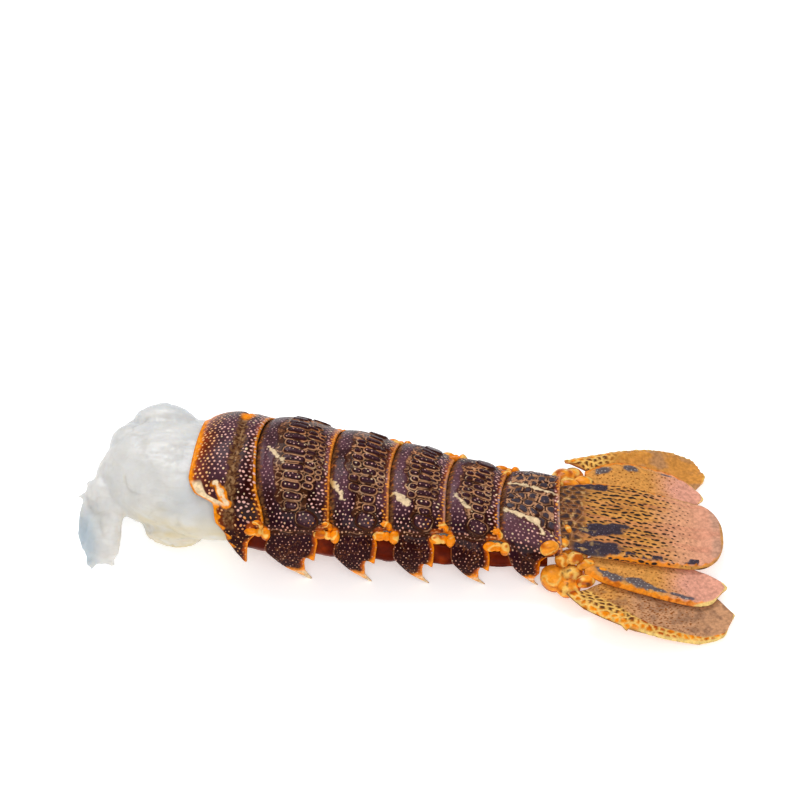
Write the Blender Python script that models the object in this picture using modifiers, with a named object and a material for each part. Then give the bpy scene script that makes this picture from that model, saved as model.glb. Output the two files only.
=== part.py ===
"""Raw spiny lobster tail standing on its side spikes: shell segments, meat, belly and tail fan."""

import math

import bmesh
import bpy
import numpy as np
from mathutils import Matrix, Vector

MM = 0.001

# The body line runs from the shell's front rim towards the tail fan, and bends a little near the fan
BODY_YAW = math.radians(-3.5)
FAN_YAW = math.radians(4.6)
BEND_START = 86 * MM
BEND_END = 112 * MM
FRONT_RIM_X = -73.6 * MM
FRONT_RIM_Y = 2.3 * MM
# Moves the whole tail so that the middle of its footprint is the origin
FOOTPRINT_SHIFT = Vector((13.5, 2.2, 0.0)) * MM

# The front rim and the rear edges of the six segments, and the shell's cross-section at each
STATIONS = np.array([0, 19.5, 39.2, 56.2, 72.4, 87.9, 105.0]) * MM
HALF_WIDTH = np.array([23.6, 24.3, 23.4, 22.2, 20.6, 18.8, 17.0]) * MM
CREST = np.array([29.6, 31.4, 28.8, 25.8, 22.4, 18.8, 16.6]) * MM
WIDEST_LEVEL = np.array([12.0, 12.0, 11.5, 10.8, 9.4, 8.0, 6.5]) * MM
HINGE_LEVEL = np.array([19.5, 19.4, 19.3, 19.0, 17.6, 15.4, 12.4]) * MM
SQUARENESS = np.array([1.0, 1.0, 1.0, 1.0, 1.0, 0.9, 0.58])
# How far each ring of the shell is turned from square to the body line
RING_TURN = np.radians([0.0, 3.5, 3.5, 2.5, 1.6, 1.0, 0.0])
SEGMENT_COUNT = 6

WALL = 1.0 * MM
GAP = 0.35 * MM
TUCK = 3.5 * MM
TUCK_DEPTH = WALL + GAP
SWELL = np.array([2.0, 1.7, 1.3, 1.2, 1.2, 0.9]) * MM
EDGE_BOW = 0.8 * MM
RIM_HEIGHT = 0.3 * MM
SPIKE_INWARD = 0.10
# How far each segment's side spikes stand forward of its rear edge's own line
SPIKE_FORWARD = np.array([2.3, 2.3, 1.8, 1.2, 0.5, 0.0]) * MM
SPIKE_SWELL = 0.5 * MM

# Rows down one side of a segment: 0 is the crest, 1 the hinge, 2 the tip of the side spike
SIDE_ROWS = (0, 0.17, 0.34, 0.5, 0.66, 0.8, 0.9, 0.97, 1.0, 1.1, 1.22, 1.38, 1.54, 1.6, 1.75, 1.88, 2.0)
# Columns from the tucked front edge of a segment to its rear edge
COLUMNS = (0, 0.17, 0.25, 0.35, 0.5, 0.68, 0.88, 1.0)

# The rear edge behind the segment's own station, down the side, with the small tooth and the notch
REAR_EDGE = np.array([(0, 0), (0.9, 0.3), (0.97, 0.5), (1.0, -3.6), (1.1, -2.8), (1.2, -1.8), (1.4, -1.5),
                      (1.54, -1.7), (1.6, -4.5), (1.75, -4.5), (1.88, -3.7), (2.0, -2.9)])
# The front edge of the side spike, as a share of the segment's length ahead of its station
SPIKE_FRONT = np.array([(1.0, 0.9), (1.1, 0.865), (1.33, 0.82), (1.54, 0.68), (1.71, 0.54), (1.85, 0.38),
                        (2.0, 0.24)])
# The last segment has square rear corners and short spikes well ahead of them
LAST_REAR = np.array([(0, 0), (0.97, -0.3), (1.0, -0.6), (1.1, -4.6), (1.22, -5.8), (1.54, -6.0),
                      (1.62, -6.0), (1.75, -7.0), (1.88, -6.8), (2.0, -6.2)])
LAST_SPIKE_FRONT = np.array([(1.0, 0.88), (1.12, 0.85), (1.48, 0.70), (1.70, 0.57), (2.0, 0.435)])
# The first segment's front edge, in millimetres behind the front rim, and its shorter spike
FIRST_FRONT = np.array([(0, -1.0), (0.45, -1.0), (0.66, 1.3), (0.78, 7.0), (0.97, 7.8), (1.1, 9.5),
                        (1.25, 12.0), (1.5, 14.0), (1.75, 15.6), (2.0, 17.0)])
FIRST_REAR = np.array([(0, -1.8), (0.5, -1.0), (0.97, 1.3), (1.0, 0.6), (1.1, 0.0), (1.3, -0.6), (2.0, -1.4)])
FIRST_SPIKE_TIP = 6.5 * MM
SPIKE_TIP = 0
# Behind the rear edge of the segment ahead, a segment rises out of its tuck between these distances
TUCK_ENDS = (0.5 * MM, 4.0 * MM)
FIRST_GROOVE = 11.3 * MM
GROOVE_WIDTH = 1.6 * MM
GROOVE_DEPTH = 0.7 * MM

# Orange hinge knobs: distance from the hinge along the body, height from the hinge, and their radii
REAR_KNOB_PLACE = (-2.3 * MM, -1.0 * MM)
REAR_KNOB_RADII = (2.3 * MM, 1.45 * MM, 1.25 * MM)
FRONT_KNOB_PLACE = (2.0 * MM, -1.6 * MM)
FRONT_KNOB_RADII = (1.15 * MM, 1.45 * MM, 2.1 * MM)
KNOB_SINK = 0.6 * MM
KNOB_SIDES = 8

# Meat: body station, side shift, half width, underside and top, from its torn front to the fan
MEAT_RINGS = np.array([
    (-31.0, -4.0, 4.0, 11.0, 18.5),
    (-28.5, -2.0, 9.0, 8.0, 21.5),
    (-25.0, 0.5, 13.5, 6.2, 24.5),
    (-20.5, 1.8, 16.5, 5.2, 27.0),
    (-15.0, 1.8, 18.8, 4.8, 28.6),
    (-9.0, 1.2, 20.2, 4.8, 28.9),
    (-3.5, 0.4, 21.2, 4.8, 28.2),
    (1.0, 0.0, 21.6, 4.8, 28.1),
    (7.0, 0.0, 21.3, 4.8, 28.8),
]) * MM
MEAT_TO_SHELL = 3.0 * MM
MEAT_TO_SIDES = 4.0 * MM
MEAT_UNDERSIDE = np.array([4.8, 4.8, 4.8, 4.8, 5.2, 6.2, 7.0]) * MM
MEAT_INSIDE_FROM = 14 * MM
# The meat is widest no more than this under the middle of its height, and this much below its top
MEAT_LOW_WIDEST = 3 * MM
MEAT_LEAST_CROWN = 1 * MM
MEAT_END = 99 * MM
MEAT_SEGMENTS = 20
MEAT_RINGS_COUNT = 28
# The share of the meat's rings that lies ahead of the shell's front rim
MEAT_SHARE_OUTSIDE = 0.42
MEAT_END_BULGE = 1.0 * MM
# Torn lobes of the meat: station, side, height and radii
MEAT_LOBES = (
    ((-13.5, 14.0, 22.5), (9.5, 6.0, 5.6)),
    ((-27.5, -8.5, 15.0), (5.2, 5.5, 4.6)),
    ((-9.0, -10.5, 15.5), (11.0, 8.0, 9.5)),
    ((-21.5, 6.0, 20.0), (7.0, 8.0, 5.8)),
)
# The two tongues of meat that hang to the table: path points, half width and half thickness
TONGUES = (
    (((-24.5, -6.0, 16.5), (-25.2, -14.0, 13.0), (-25.8, -20.5, 7.0), (-26.0, -24.6, 1.0)), 5.4, 2.6),
    (((-29.0, -8.0, 16.0), (-31.0, -13.5, 12.5), (-31.3, -18.0, 8.0), (-30.6, -20.5, 3.6)), 2.5, 1.7),
)

BELLY_FROM = 15 * MM
BELLY_TO = 101 * MM
BELLY_WALL = 1.2 * MM
BELLY_GAP = 0.7 * MM
BELLY_HALF_ANGLE = math.radians(80)
BELLY_RIB = 0.8 * MM
BELLY_RIB_WIDTH = 2.5 * MM

# Tail fan: its plane starts at the telson's base and slopes down to the table
FAN_STATION = 107 * MM
FAN_BASE_LEVEL = 14.0 * MM
FAN_SLOPE = math.radians(14.3)
BLADE_WALL = 1.2 * MM
INNER_BLADE_DROP = BLADE_WALL + GAP
OUTER_BLADE_DROP = 2 * (BLADE_WALL + GAP)
TELSON_FROM = -4.5 * MM
TELSON_LENGTH = 46 * MM
TELSON_HALF_WIDTH = np.array([(-4.5, 11.8), (0, 13.2), (8, 15.3), (18, 15.7), (28, 15.1), (36, 14.2),
                              (46, 12.6)]) * MM
TELSON_CORNER_FROM = 34 * MM
TELSON_CORNER_SQUARE = 0.97
TELSON_BASE_ARCH = 1.2 * MM
TELSON_ARCH_LENGTH = 18 * MM
TELSON_ARCH_REACH = 16 * MM
LOWEST_BLADE = 0.25 * MM

# Blade outlines in the fan plane: distance from the telson's base, then distance from its middle line
INNER_BLADE_OUTER_EDGE = ((4.6, 20.3), (12, 24.5), (20, 26.0), (28, 27.3), (36, 27.4), (41.5, 26.0),
                          (44.5, 21.5))
INNER_BLADE_INNER_EDGE = ((4.6, 14.6), (12, 11.5), (20, 10.5), (28, 10.5), (36, 12.0), (41.5, 14.5),
                          (45.0, 17.5))
OUTER_BLADE_OUTER_EDGE = ((-0.5, 28.0), (2.5, 31.6), (8, 35.5), (15, 38.6), (28, 41.2), (38, 40.3),
                          (44.5, 37.6), (46.6, 32.0))
OUTER_BLADE_INNER_EDGE = ((0.5, 27.2), (3.5, 26.4), (7, 23.8), (13, 20.5), (24, 18.5), (34, 18.5), (42, 20.5),
                          (46.6, 27.0))
# The far side's blades are held closer in, and reach a little less far back
FAR_INNER_BLADE_OUTER_EDGE = ((6.6, 22.5), (12, 26.0), (20, 28.0), (27, 27.6), (34, 26.4), (38.5, 23.5),
                              (40.5, 19.5))
FAR_INNER_BLADE_INNER_EDGE = ((6.6, 15.6), (12, 12.0), (20, 10.5), (28, 10.5), (34, 11.5), (38.5, 13.5),
                              (41, 16.0))
FAR_OUTER_BLADE_OUTER_EDGE = ((1.0, 27.8), (4, 29.2), (10, 31.4), (18, 34.4), (27, 37.4), (35, 38.0),
                              (40.5, 35.8), (42.5, 30.5))
FAR_OUTER_BLADE_INNER_EDGE = ((2.0, 27.2), (5, 26.4), (8.5, 23.5), (14, 20.5), (24, 18.5), (33, 18.5),
                              (39, 20.5), (42.5, 25.5))
BLADE_COLUMNS = 14
BLADE_ROWS = 6
BLADE_TIP_BULGE = 1.6 * MM

# Lumps of each side's blade base: place in the fan plane, depth under it, and radii
NEAR_BASE_LUMPS = (
    ((-2.9, 19.0, -6.7), (4.1, 4.4, 3.6)),
    ((1.8, 18.6, -4.8), (3.4, 3.2, 2.7)),
    ((1.0, 22.4, -6.2), (3.6, 3.2, 2.8)),
)
FAR_BASE_LUMPS = (
    ((0.8, 20.0, -4.4), (4.2, 3.9, 3.6)),
    ((4.0, 23.6, -5.4), (3.2, 2.9, 2.4)),
)

SHELL_COLOUR = (0.045, 0.018, 0.028)
BELLY_COLOUR = (0.060, 0.012, 0.006)
MEAT_COLOUR = (0.760, 0.740, 0.690)
TELSON_COLOUR = (0.420, 0.210, 0.110)
BLADE_COLOUR = (0.560, 0.260, 0.090)
BASE_COLOUR = (0.800, 0.330, 0.030)


def clear_scene():
    for old in list(bpy.data.objects):
        bpy.data.objects.remove(old, do_unlink=True)


def new_collection(name):
    collection = bpy.data.collections.new(name)
    bpy.context.scene.collection.children.link(collection)
    return collection


def plain_material(name, colour, roughness):
    material = bpy.data.materials.new(name)
    material.use_nodes = True
    shader = material.node_tree.nodes["Principled BSDF"]
    shader.inputs["Base Color"].default_value = (*colour, 1)
    shader.inputs["Roughness"].default_value = roughness
    shader.inputs["Metallic"].default_value = 0
    return material


def smooth_step(low, high, x):
    t = np.clip((np.asarray(x, float) - low) / (high - low), 0, 1)
    return t * t * (3 - 2 * t)


def table(rows, x):
    rows = np.asarray(rows)
    return np.interp(x, rows[:, 0], rows[:, 1])


# The body line and the shell's cross-section

LINE_STEP = 0.5 * MM
LINE_STATIONS = np.arange(-45 * MM, 120 * MM, LINE_STEP)


def yaw_at(s):
    return BODY_YAW + (FAN_YAW - BODY_YAW) * smooth_step(BEND_START, BEND_END, s)


def body_line(s):
    """The plan position of the body line at station s."""
    x = np.cumsum(np.cos(yaw_at(LINE_STATIONS))) * LINE_STEP
    y = np.cumsum(np.sin(yaw_at(LINE_STATIONS))) * LINE_STEP
    x += FRONT_RIM_X - np.interp(0, LINE_STATIONS, x)
    y += FRONT_RIM_Y - np.interp(0, LINE_STATIONS, y)
    return np.interp(s, LINE_STATIONS, x), np.interp(s, LINE_STATIONS, y)


def at_station(values, s):
    return float(np.interp(s, STATIONS, values))


def place(s, side, height):
    """The point on the ring at station s, this far to the side of the body line and this high."""
    x, y = body_line(s - side * math.tan(at_station(RING_TURN, s)))
    yaw = yaw_at(s)
    return Vector((x - side * math.sin(yaw), y + side * math.cos(yaw), height)) + FOOTPRINT_SHIFT


def level_of_row(s, row, tip):
    """The height of a row: an angle round the shell down to the hinge, then a height down the spike."""
    crest, widest = at_station(CREST, s), at_station(WIDEST_LEVEL, s)
    hinge, power = at_station(HINGE_LEVEL, s), at_station(SQUARENESS, s)
    share = np.clip((hinge - widest) / (crest - widest), 0, 1)
    hinge_angle = math.acos(share ** (1 / power))
    if row <= 1:
        return widest + (crest - widest) * math.cos(row * hinge_angle) ** power
    return hinge + (tip - hinge) * (row - 1)


def side_at_level(s, level):
    """The shell's half width at a height, and the direction that its surface faces there."""
    half, crest = at_station(HALF_WIDTH, s), at_station(CREST, s)
    widest, power = at_station(WIDEST_LEVEL, s), at_station(SQUARENESS, s)
    if level >= widest:
        angle = math.acos(min(1, (level - widest) / (crest - widest)) ** (1 / power))
        facing = Vector((math.sin(angle) / half, math.cos(angle) / (crest - widest))).normalized()
        return half * math.sin(angle) ** power, facing
    below = 1 - max(0, level) / widest
    return half * (1 - SPIKE_INWARD * below ** 1.5), Vector((1, 0))


def shell_point(s, row, outward, tip):
    """A point on the shell at a signed row, moved outward from its surface."""
    sign = -1 if row < 0 else 1
    level = level_of_row(s, abs(row), tip)
    side, facing = side_at_level(s, level)
    return place(s, sign * (side + outward * facing.x), level + outward * facing.y)


# One shell segment

def edge_rows(index):
    """The front and rear edges of a segment as stations, for a row down its side."""
    station, before = STATIONS[index + 1], STATIONS[index]
    length = station - before

    def forward(row):
        return SPIKE_FORWARD[index] * float(smooth_step(1.0, 1.4, row))

    last = index == SEGMENT_COUNT - 1
    rear_edge = FIRST_REAR if index == 0 else LAST_REAR if last else REAR_EDGE
    spike_front = LAST_SPIKE_FRONT if last else SPIKE_FRONT

    def rear(row):
        bow = EDGE_BOW * (1 - smooth_step(0, 1, row))
        return station + table(rear_edge, row) * MM - bow - forward(row)

    def front(row):
        if index == 0:
            return table(FIRST_FRONT, row) * MM - forward(row)
        tucked = before - TUCK - EDGE_BOW * (1 - smooth_step(0, 1, row))
        spike = station - table(spike_front, row) * length - forward(row)
        return tucked + (spike - tucked) * float(np.clip((row - 0.9) / 0.1, 0, 1))

    return front, rear


def outward_of(index, s, row, column, rear_before):
    """How far a segment's surface stands off the smooth shell: its swell, its tucked front and its rim."""
    before, station = STATIONS[index], STATIONS[index + 1]
    along = float(np.clip((s - before) / (station - before), 0, 1))
    on_arch = 1 - float(smooth_step(0.8, 1.2, row))
    outward = SWELL[index] * math.sin(math.pi * along ** 0.8) * on_arch
    outward += SPIKE_SWELL * math.sin(math.pi * column) * (1 - on_arch) * (2 - row)
    outward += RIM_HEIGHT * float(smooth_step(0.9, 1.0, column)) * on_arch
    if index == 0:
        return outward - GROOVE_DEPTH * math.exp(-(((s - FIRST_GROOVE) / GROOVE_WIDTH) ** 2)) * on_arch
    free = float(smooth_step(*TUCK_ENDS, s - rear_before(row)))
    return (outward + TUCK_DEPTH) * free - TUCK_DEPTH


def warp_grid(mesh_name, columns, rows, point_at):
    """A grid mesh whose vertices are moved to point_at(column value, row value)."""
    bm = bmesh.new()
    bmesh.ops.create_grid(bm, x_segments=len(columns) - 1, y_segments=len(rows) - 1, size=1)
    for vertex in bm.verts:
        column = round((vertex.co.x + 1) / 2 * (len(columns) - 1))
        row = round((vertex.co.y + 1) / 2 * (len(rows) - 1))
        vertex.co = point_at(columns[column], rows[row])
    mesh = bpy.data.meshes.new(mesh_name)
    bm.to_mesh(mesh)
    bm.free()
    return mesh


def add_object(name, mesh, material, collection):
    mesh.materials.append(material)
    mesh.shade_smooth()
    obj = bpy.data.objects.new(name, mesh)
    collection.objects.link(obj)
    return obj


def thicken(obj, wall):
    """Gives a surface a wall on its inner side."""
    solidify = obj.modifiers.new("wall", "SOLIDIFY")
    solidify.thickness = wall
    solidify.offset = -1
    solidify.use_even_offset = False


def add_lump(name, centre, radii, turn, collection, sides=10):
    """A squashed sphere, for a Boolean union."""
    bm = bmesh.new()
    bmesh.ops.create_uvsphere(bm, u_segments=sides, v_segments=sides // 2 + 1, radius=1)
    matrix = Matrix.Translation(centre) @ turn @ Matrix.Diagonal((*radii, 1))
    bmesh.ops.transform(bm, matrix=matrix, verts=bm.verts)
    mesh = bpy.data.meshes.new(name)
    bm.to_mesh(mesh)
    bm.free()
    obj = bpy.data.objects.new(name, mesh)
    obj.hide_render = True
    obj.display_type = "WIRE"
    collection.objects.link(obj)
    return obj


def join_lumps(obj, lumps_collection):
    """Joins a collection's lumps to an object, then removes them."""
    union = obj.modifiers.new("lumps", "BOOLEAN")
    union.operation = "UNION"
    union.operand_type = "COLLECTION"
    union.collection = lumps_collection
    graph = bpy.context.evaluated_depsgraph_get()
    joined = bpy.data.meshes.new_from_object(obj.evaluated_get(graph))
    obj.modifiers.clear()
    obj.data = joined
    for lump in list(lumps_collection.objects):
        bpy.data.objects.remove(lump, do_unlink=True)
    bpy.data.collections.remove(lumps_collection)


def add_segment(index, material, collection):
    front, rear = edge_rows(index)
    rear_before = edge_rows(index - 1)[1] if index else None
    tip = FIRST_SPIKE_TIP if index == 0 else SPIKE_TIP
    rows = [-row for row in reversed(SIDE_ROWS[1:])] + list(SIDE_ROWS)

    def point_at(column, row):
        down = abs(row)
        s = front(down) + (rear(down) - front(down)) * column
        return shell_point(s, row, outward_of(index, s, down, column, rear_before), tip)

    name = f"segment_{index + 1}"
    obj = add_object(name, warp_grid(name, COLUMNS, rows, point_at), material, collection)
    thicken(obj, WALL)
    add_hinge_knobs(obj, index)
    return obj


def add_hinge_knobs(obj, index):
    """Joins the rounded hinge knobs to both sides of a segment."""
    knobs = []
    if index < SEGMENT_COUNT - 1:
        knobs.append((index + 1, REAR_KNOB_PLACE, REAR_KNOB_RADII))
    if index > 0:
        knobs.append((index, FRONT_KNOB_PLACE, FRONT_KNOB_RADII))
    lumps = new_collection("knobs")
    for at, (along, up), radii in knobs:
        s, level = STATIONS[at] + along, HINGE_LEVEL[at] + up
        for sign in (-1, 1):
            side = side_at_level(s, level)[0] - KNOB_SINK
            turn = Matrix.Rotation(yaw_at(s), 4, "Z")
            add_lump("knob", place(s, sign * side, level), radii, turn, lumps, KNOB_SIDES)
    join_lumps(obj, lumps)


# Meat and belly

def meat_ring(s):
    """The meat's side shift, half width, underside, top and widest level at a station."""
    outside = [float(np.interp(s, MEAT_RINGS[:, 0], MEAT_RINGS[:, i])) for i in range(1, 5)]
    inside = (0, at_station(HALF_WIDTH, s) - MEAT_TO_SIDES, at_station(MEAT_UNDERSIDE, s),
              at_station(CREST, s) - MEAT_TO_SHELL)
    blend = float(smooth_step(MEAT_RINGS[-1, 0], MEAT_INSIDE_FROM, s))
    shift, half, under, top = (out + (into - out) * blend for out, into in zip(outside, inside))
    widest = at_station(WIDEST_LEVEL, s)
    middle = (under + top) / 2
    return shift, half, under, top, min(max(widest, middle - MEAT_LOW_WIDEST), top - MEAT_LEAST_CROWN)


def meat_point(s, angle, grow=0.0):
    """A point on the meat, grown outward, with the angle from its top round its side."""
    shift, half, under, top, widest = meat_ring(s)
    height = (top - widest if math.cos(angle) > 0 else widest - under) + grow
    return place(s, shift + (half + grow) * math.sin(angle), widest + height * math.cos(angle))


def add_meat(material, collection):
    bm = bmesh.new()
    bmesh.ops.create_uvsphere(bm, u_segments=MEAT_SEGMENTS, v_segments=MEAT_RINGS_COUNT, radius=1)
    first, last = MEAT_RINGS[0, 0], MEAT_END
    for vertex in bm.verts:
        share = math.acos(max(-1, min(1, -vertex.co.z))) / math.pi
        if share < MEAT_SHARE_OUTSIDE:
            s = first + (0 - first) * share / MEAT_SHARE_OUTSIDE
        else:
            s = last * (share - MEAT_SHARE_OUTSIDE) / (1 - MEAT_SHARE_OUTSIDE)
        if math.hypot(vertex.co.x, vertex.co.y) < 1e-6:
            shift, half, under, top, widest = meat_ring(s)
            vertex.co = place(s + math.copysign(MEAT_END_BULGE, share - 0.5), shift, widest)
        else:
            vertex.co = meat_point(s, math.atan2(vertex.co.y, vertex.co.x))
    bmesh.ops.recalc_face_normals(bm, faces=bm.faces)
    mesh = bpy.data.meshes.new("meat")
    bm.to_mesh(mesh)
    bm.free()
    obj = add_object("meat", mesh, material, collection)
    lumps = new_collection("meat lobes")
    turn = Matrix.Rotation(BODY_YAW, 4, "Z")
    for (s, side, level), radii in MEAT_LOBES:
        centre = place(s * MM, side * MM, level * MM)
        add_lump("lobe", centre, [radius * MM for radius in radii], turn, lumps)
    for path, half_width, half_thickness in TONGUES:
        add_tongue(path, half_width * MM, half_thickness * MM, lumps)
    join_lumps(obj, lumps)
    return obj


def path_point(path, share):
    """A point on the smooth curve through four path points, and the curve's direction there."""
    a, b, c, d = (np.array(point) * MM for point in path)
    t = share
    weights = ((1 - t) ** 3, 3 * t * (1 - t) ** 2, 3 * t * t * (1 - t), t ** 3)
    # The middle handles are raised so that the curve passes the two middle points at one and two thirds
    first_handle = (-5 * a + 18 * b - 9 * c + 2 * d) / 6
    second_handle = (2 * a - 9 * b + 18 * c - 5 * d) / 6
    handles = (a, first_handle, second_handle, d)
    point = sum(weight * handle for weight, handle in zip(weights, handles))
    slope = (3 * (1 - t) ** 2 * (handles[1] - a) + 6 * t * (1 - t) * (handles[2] - handles[1])
             + 3 * t * t * (d - handles[2]))
    return point, slope / np.linalg.norm(slope)


def add_tongue(path, half_width, half_thickness, collection):
    """A flat hanging strip of meat: a sphere drawn out along a path."""
    bm = bmesh.new()
    bmesh.ops.create_uvsphere(bm, u_segments=12, v_segments=9, radius=1)
    for vertex in bm.verts:
        share = (vertex.co.z + 1) / 2
        round_end = max(0.0, 1 - vertex.co.z ** 4) ** 0.5
        across = math.atan2(vertex.co.y, vertex.co.x)
        centre, direction = path_point(path, share)
        thick_way = np.cross(direction, (1, 0, 0))
        thick_way /= np.linalg.norm(thick_way)
        point = centre + thick_way * half_thickness * round_end * math.sin(across)
        point = point + np.array((half_width * round_end * math.cos(across), 0, 0))
        vertex.co = place(point[0], point[1], max(point[2], LOWEST_BLADE))
    bmesh.ops.recalc_face_normals(bm, faces=bm.faces)
    mesh = bpy.data.meshes.new("tongue")
    bm.to_mesh(mesh)
    bm.free()
    obj = bpy.data.objects.new("tongue", mesh)
    obj.hide_render = True
    obj.display_type = "WIRE"
    collection.objects.link(obj)


def add_belly(material, collection):
    """The ribbed skin under the meat."""
    columns = np.linspace(BELLY_FROM, BELLY_TO, 23)
    rows = np.linspace(-1, 1, 9)

    def point_at(s, row):
        nearest = np.abs(STATIONS[1:] - s).min()
        rib = BELLY_RIB * math.exp(-((nearest / BELLY_RIB_WIDTH) ** 2)) * math.cos(row * math.pi / 2)
        return meat_point(s, math.pi - row * BELLY_HALF_ANGLE, BELLY_GAP + BELLY_WALL + rib)

    mesh = warp_grid("belly", columns, rows, point_at)
    mesh.flip_normals()
    obj = add_object("belly", mesh, material, collection)
    thicken(obj, BELLY_WALL)
    return obj


# Tail fan

def fan_point(along, side, above):
    """A point of the fan: along and across its plane, and above it."""
    base = place(FAN_STATION, 0, FAN_BASE_LEVEL)
    yaw, slope = FAN_YAW, FAN_SLOPE
    forward = Vector((math.cos(yaw) * math.cos(slope), math.sin(yaw) * math.cos(slope), -math.sin(slope)))
    across = Vector((-math.sin(yaw), math.cos(yaw), 0))
    fade = 1 - float(smooth_step(0, TELSON_ARCH_LENGTH, along))
    arch = TELSON_BASE_ARCH * fade * (min(abs(side), TELSON_ARCH_REACH) / TELSON_HALF_WIDTH[1, 1]) ** 2
    return base + forward * along + across * side + forward.cross(across) * (above - arch)


def blade_point(along, side, drop):
    """A point on a blade's upper face, kept high enough that no layer sinks into the table or the next."""
    point = fan_point(along, side, -drop)
    point.z = max(point.z, LOWEST_BLADE + BLADE_WALL + OUTER_BLADE_DROP - drop)
    return point


def telson_half_width(along):
    corner = float(np.clip((along - TELSON_CORNER_FROM) / (TELSON_LENGTH - TELSON_CORNER_FROM), 0, 1))
    return table(TELSON_HALF_WIDTH, along) * math.sqrt(max(0.0, 1 - (TELSON_CORNER_SQUARE * corner) ** 4))


def add_telson(material, collection):
    columns = TELSON_FROM + (TELSON_LENGTH - TELSON_FROM) * np.sin(np.linspace(0, math.pi / 2, 17))
    rows = np.linspace(-1, 1, 11)

    def point_at(along, row):
        side = row * telson_half_width(along)
        return blade_point(along, side, 0)

    obj = add_object("telson", warp_grid("telson", columns, rows, point_at), material, collection)
    thicken(obj, BLADE_WALL)
    return obj


def edge_point(points, share):
    """A point a share of the way along the smooth edge through some points, by its length."""
    points = np.array(points, float) * MM
    lengths = np.concatenate([[0], np.cumsum(np.linalg.norm(np.diff(points, axis=0), axis=1))])
    slopes = np.gradient(points, lengths, axis=0)
    at = share * lengths[-1]
    i = min(int(np.searchsorted(lengths, at, side="right")) - 1, len(points) - 2)
    step = lengths[i + 1] - lengths[i]
    t = (at - lengths[i]) / step
    return ((2 * t ** 3 - 3 * t * t + 1) * points[i] + (t ** 3 - 2 * t * t + t) * step * slopes[i]
            + (3 * t * t - 2 * t ** 3) * points[i + 1] + (t ** 3 - t * t) * step * slopes[i + 1])


def add_blade(name, outer_edge, inner_edge, drop, side_sign, material, collection):
    """One flat blade of the fan, between its outer and inner edges."""
    columns = np.sin(np.linspace(0, math.pi / 2, BLADE_COLUMNS))
    rows = np.linspace(0, 1, BLADE_ROWS)

    def point_at(column, row):
        along, side = edge_point(inner_edge, column) * (1 - row) + edge_point(outer_edge, column) * row
        along += BLADE_TIP_BULGE * 4 * row * (1 - row) * column ** 6
        return blade_point(along, side_sign * side, drop)

    mesh = warp_grid(name, columns, rows, point_at)
    if side_sign < 0:
        mesh.flip_normals()
    obj = add_object(name, mesh, material, collection)
    thicken(obj, BLADE_WALL)
    return obj


def add_blade_base(name, base_lumps, side_sign, material, collection):
    """The rounded joint that carries a side's two blades."""
    turn = Matrix.Rotation(FAN_YAW, 4, "Z") @ Matrix.Rotation(FAN_SLOPE, 4, "Y")
    lumps = new_collection("base lumps")
    first = None
    for (along, side, above), radii in base_lumps:
        centre = fan_point(along * MM, side_sign * side * MM, above * MM)
        lump = add_lump(name, centre, [radius * MM for radius in radii], turn, lumps)
        first = first or lump
    lumps.objects.unlink(first)
    first.hide_render = False
    first.display_type = "TEXTURED"
    first.data.materials.append(material)
    collection.objects.link(first)
    bpy.context.view_layer.update()
    join_lumps(first, lumps)
    first.data.shade_smooth()
    return first


def build():
    clear_scene()
    tail = new_collection("spiny_lobster_tail")
    shell = plain_material("shell", SHELL_COLOUR, 0.25)
    belly = plain_material("belly skin", BELLY_COLOUR, 0.4)
    meat = plain_material("raw meat", MEAT_COLOUR, 0.35)
    telson = plain_material("telson shell", TELSON_COLOUR, 0.35)
    blade = plain_material("fan blade", BLADE_COLOUR, 0.4)
    base = plain_material("fan base", BASE_COLOUR, 0.3)

    add_meat(meat, tail)
    add_belly(belly, tail)
    for index in range(SEGMENT_COUNT):
        add_segment(index, shell, tail)
    add_telson(telson, tail)
    for side_name, sign, base_lumps, inner_edges, outer_edges in (
        ("near", -1, NEAR_BASE_LUMPS, (INNER_BLADE_OUTER_EDGE, INNER_BLADE_INNER_EDGE),
         (OUTER_BLADE_OUTER_EDGE, OUTER_BLADE_INNER_EDGE)),
        ("far", 1, FAR_BASE_LUMPS, (FAR_INNER_BLADE_OUTER_EDGE, FAR_INNER_BLADE_INNER_EDGE),
         (FAR_OUTER_BLADE_OUTER_EDGE, FAR_OUTER_BLADE_INNER_EDGE)),
    ):
        add_blade_base(f"fan_base_{side_name}", base_lumps, sign, base, tail)
        add_blade(f"inner_blade_{side_name}", *inner_edges, INNER_BLADE_DROP, sign, blade, tail)
        add_blade(f"outer_blade_{side_name}", *outer_edges, OUTER_BLADE_DROP, sign, blade, tail)


build()
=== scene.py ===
"""Dresses the raw spiny lobster tail: spotted wet shell, torn raw meat, belly skin and tail fan."""

import math

import bpy
import bmesh
import numpy as np
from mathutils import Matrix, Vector


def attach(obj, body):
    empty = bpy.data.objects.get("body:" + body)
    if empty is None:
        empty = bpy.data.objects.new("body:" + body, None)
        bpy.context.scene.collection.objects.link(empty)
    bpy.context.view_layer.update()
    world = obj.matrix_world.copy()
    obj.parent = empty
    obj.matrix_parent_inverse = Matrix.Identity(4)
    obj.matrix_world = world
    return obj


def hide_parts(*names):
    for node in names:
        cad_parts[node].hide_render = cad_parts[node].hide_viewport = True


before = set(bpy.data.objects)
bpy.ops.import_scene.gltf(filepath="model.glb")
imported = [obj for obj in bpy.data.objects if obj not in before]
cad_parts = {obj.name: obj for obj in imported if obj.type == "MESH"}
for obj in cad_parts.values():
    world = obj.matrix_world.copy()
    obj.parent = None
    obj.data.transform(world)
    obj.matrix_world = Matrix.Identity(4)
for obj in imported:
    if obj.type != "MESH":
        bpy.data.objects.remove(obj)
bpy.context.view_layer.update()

# Everything below is worked out in millimetres, in the CAD's own frame, and made in metres
MM = 0.001
FOOTPRINT_SHIFT = np.array([13.5, 2.2, 0.0])

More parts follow.
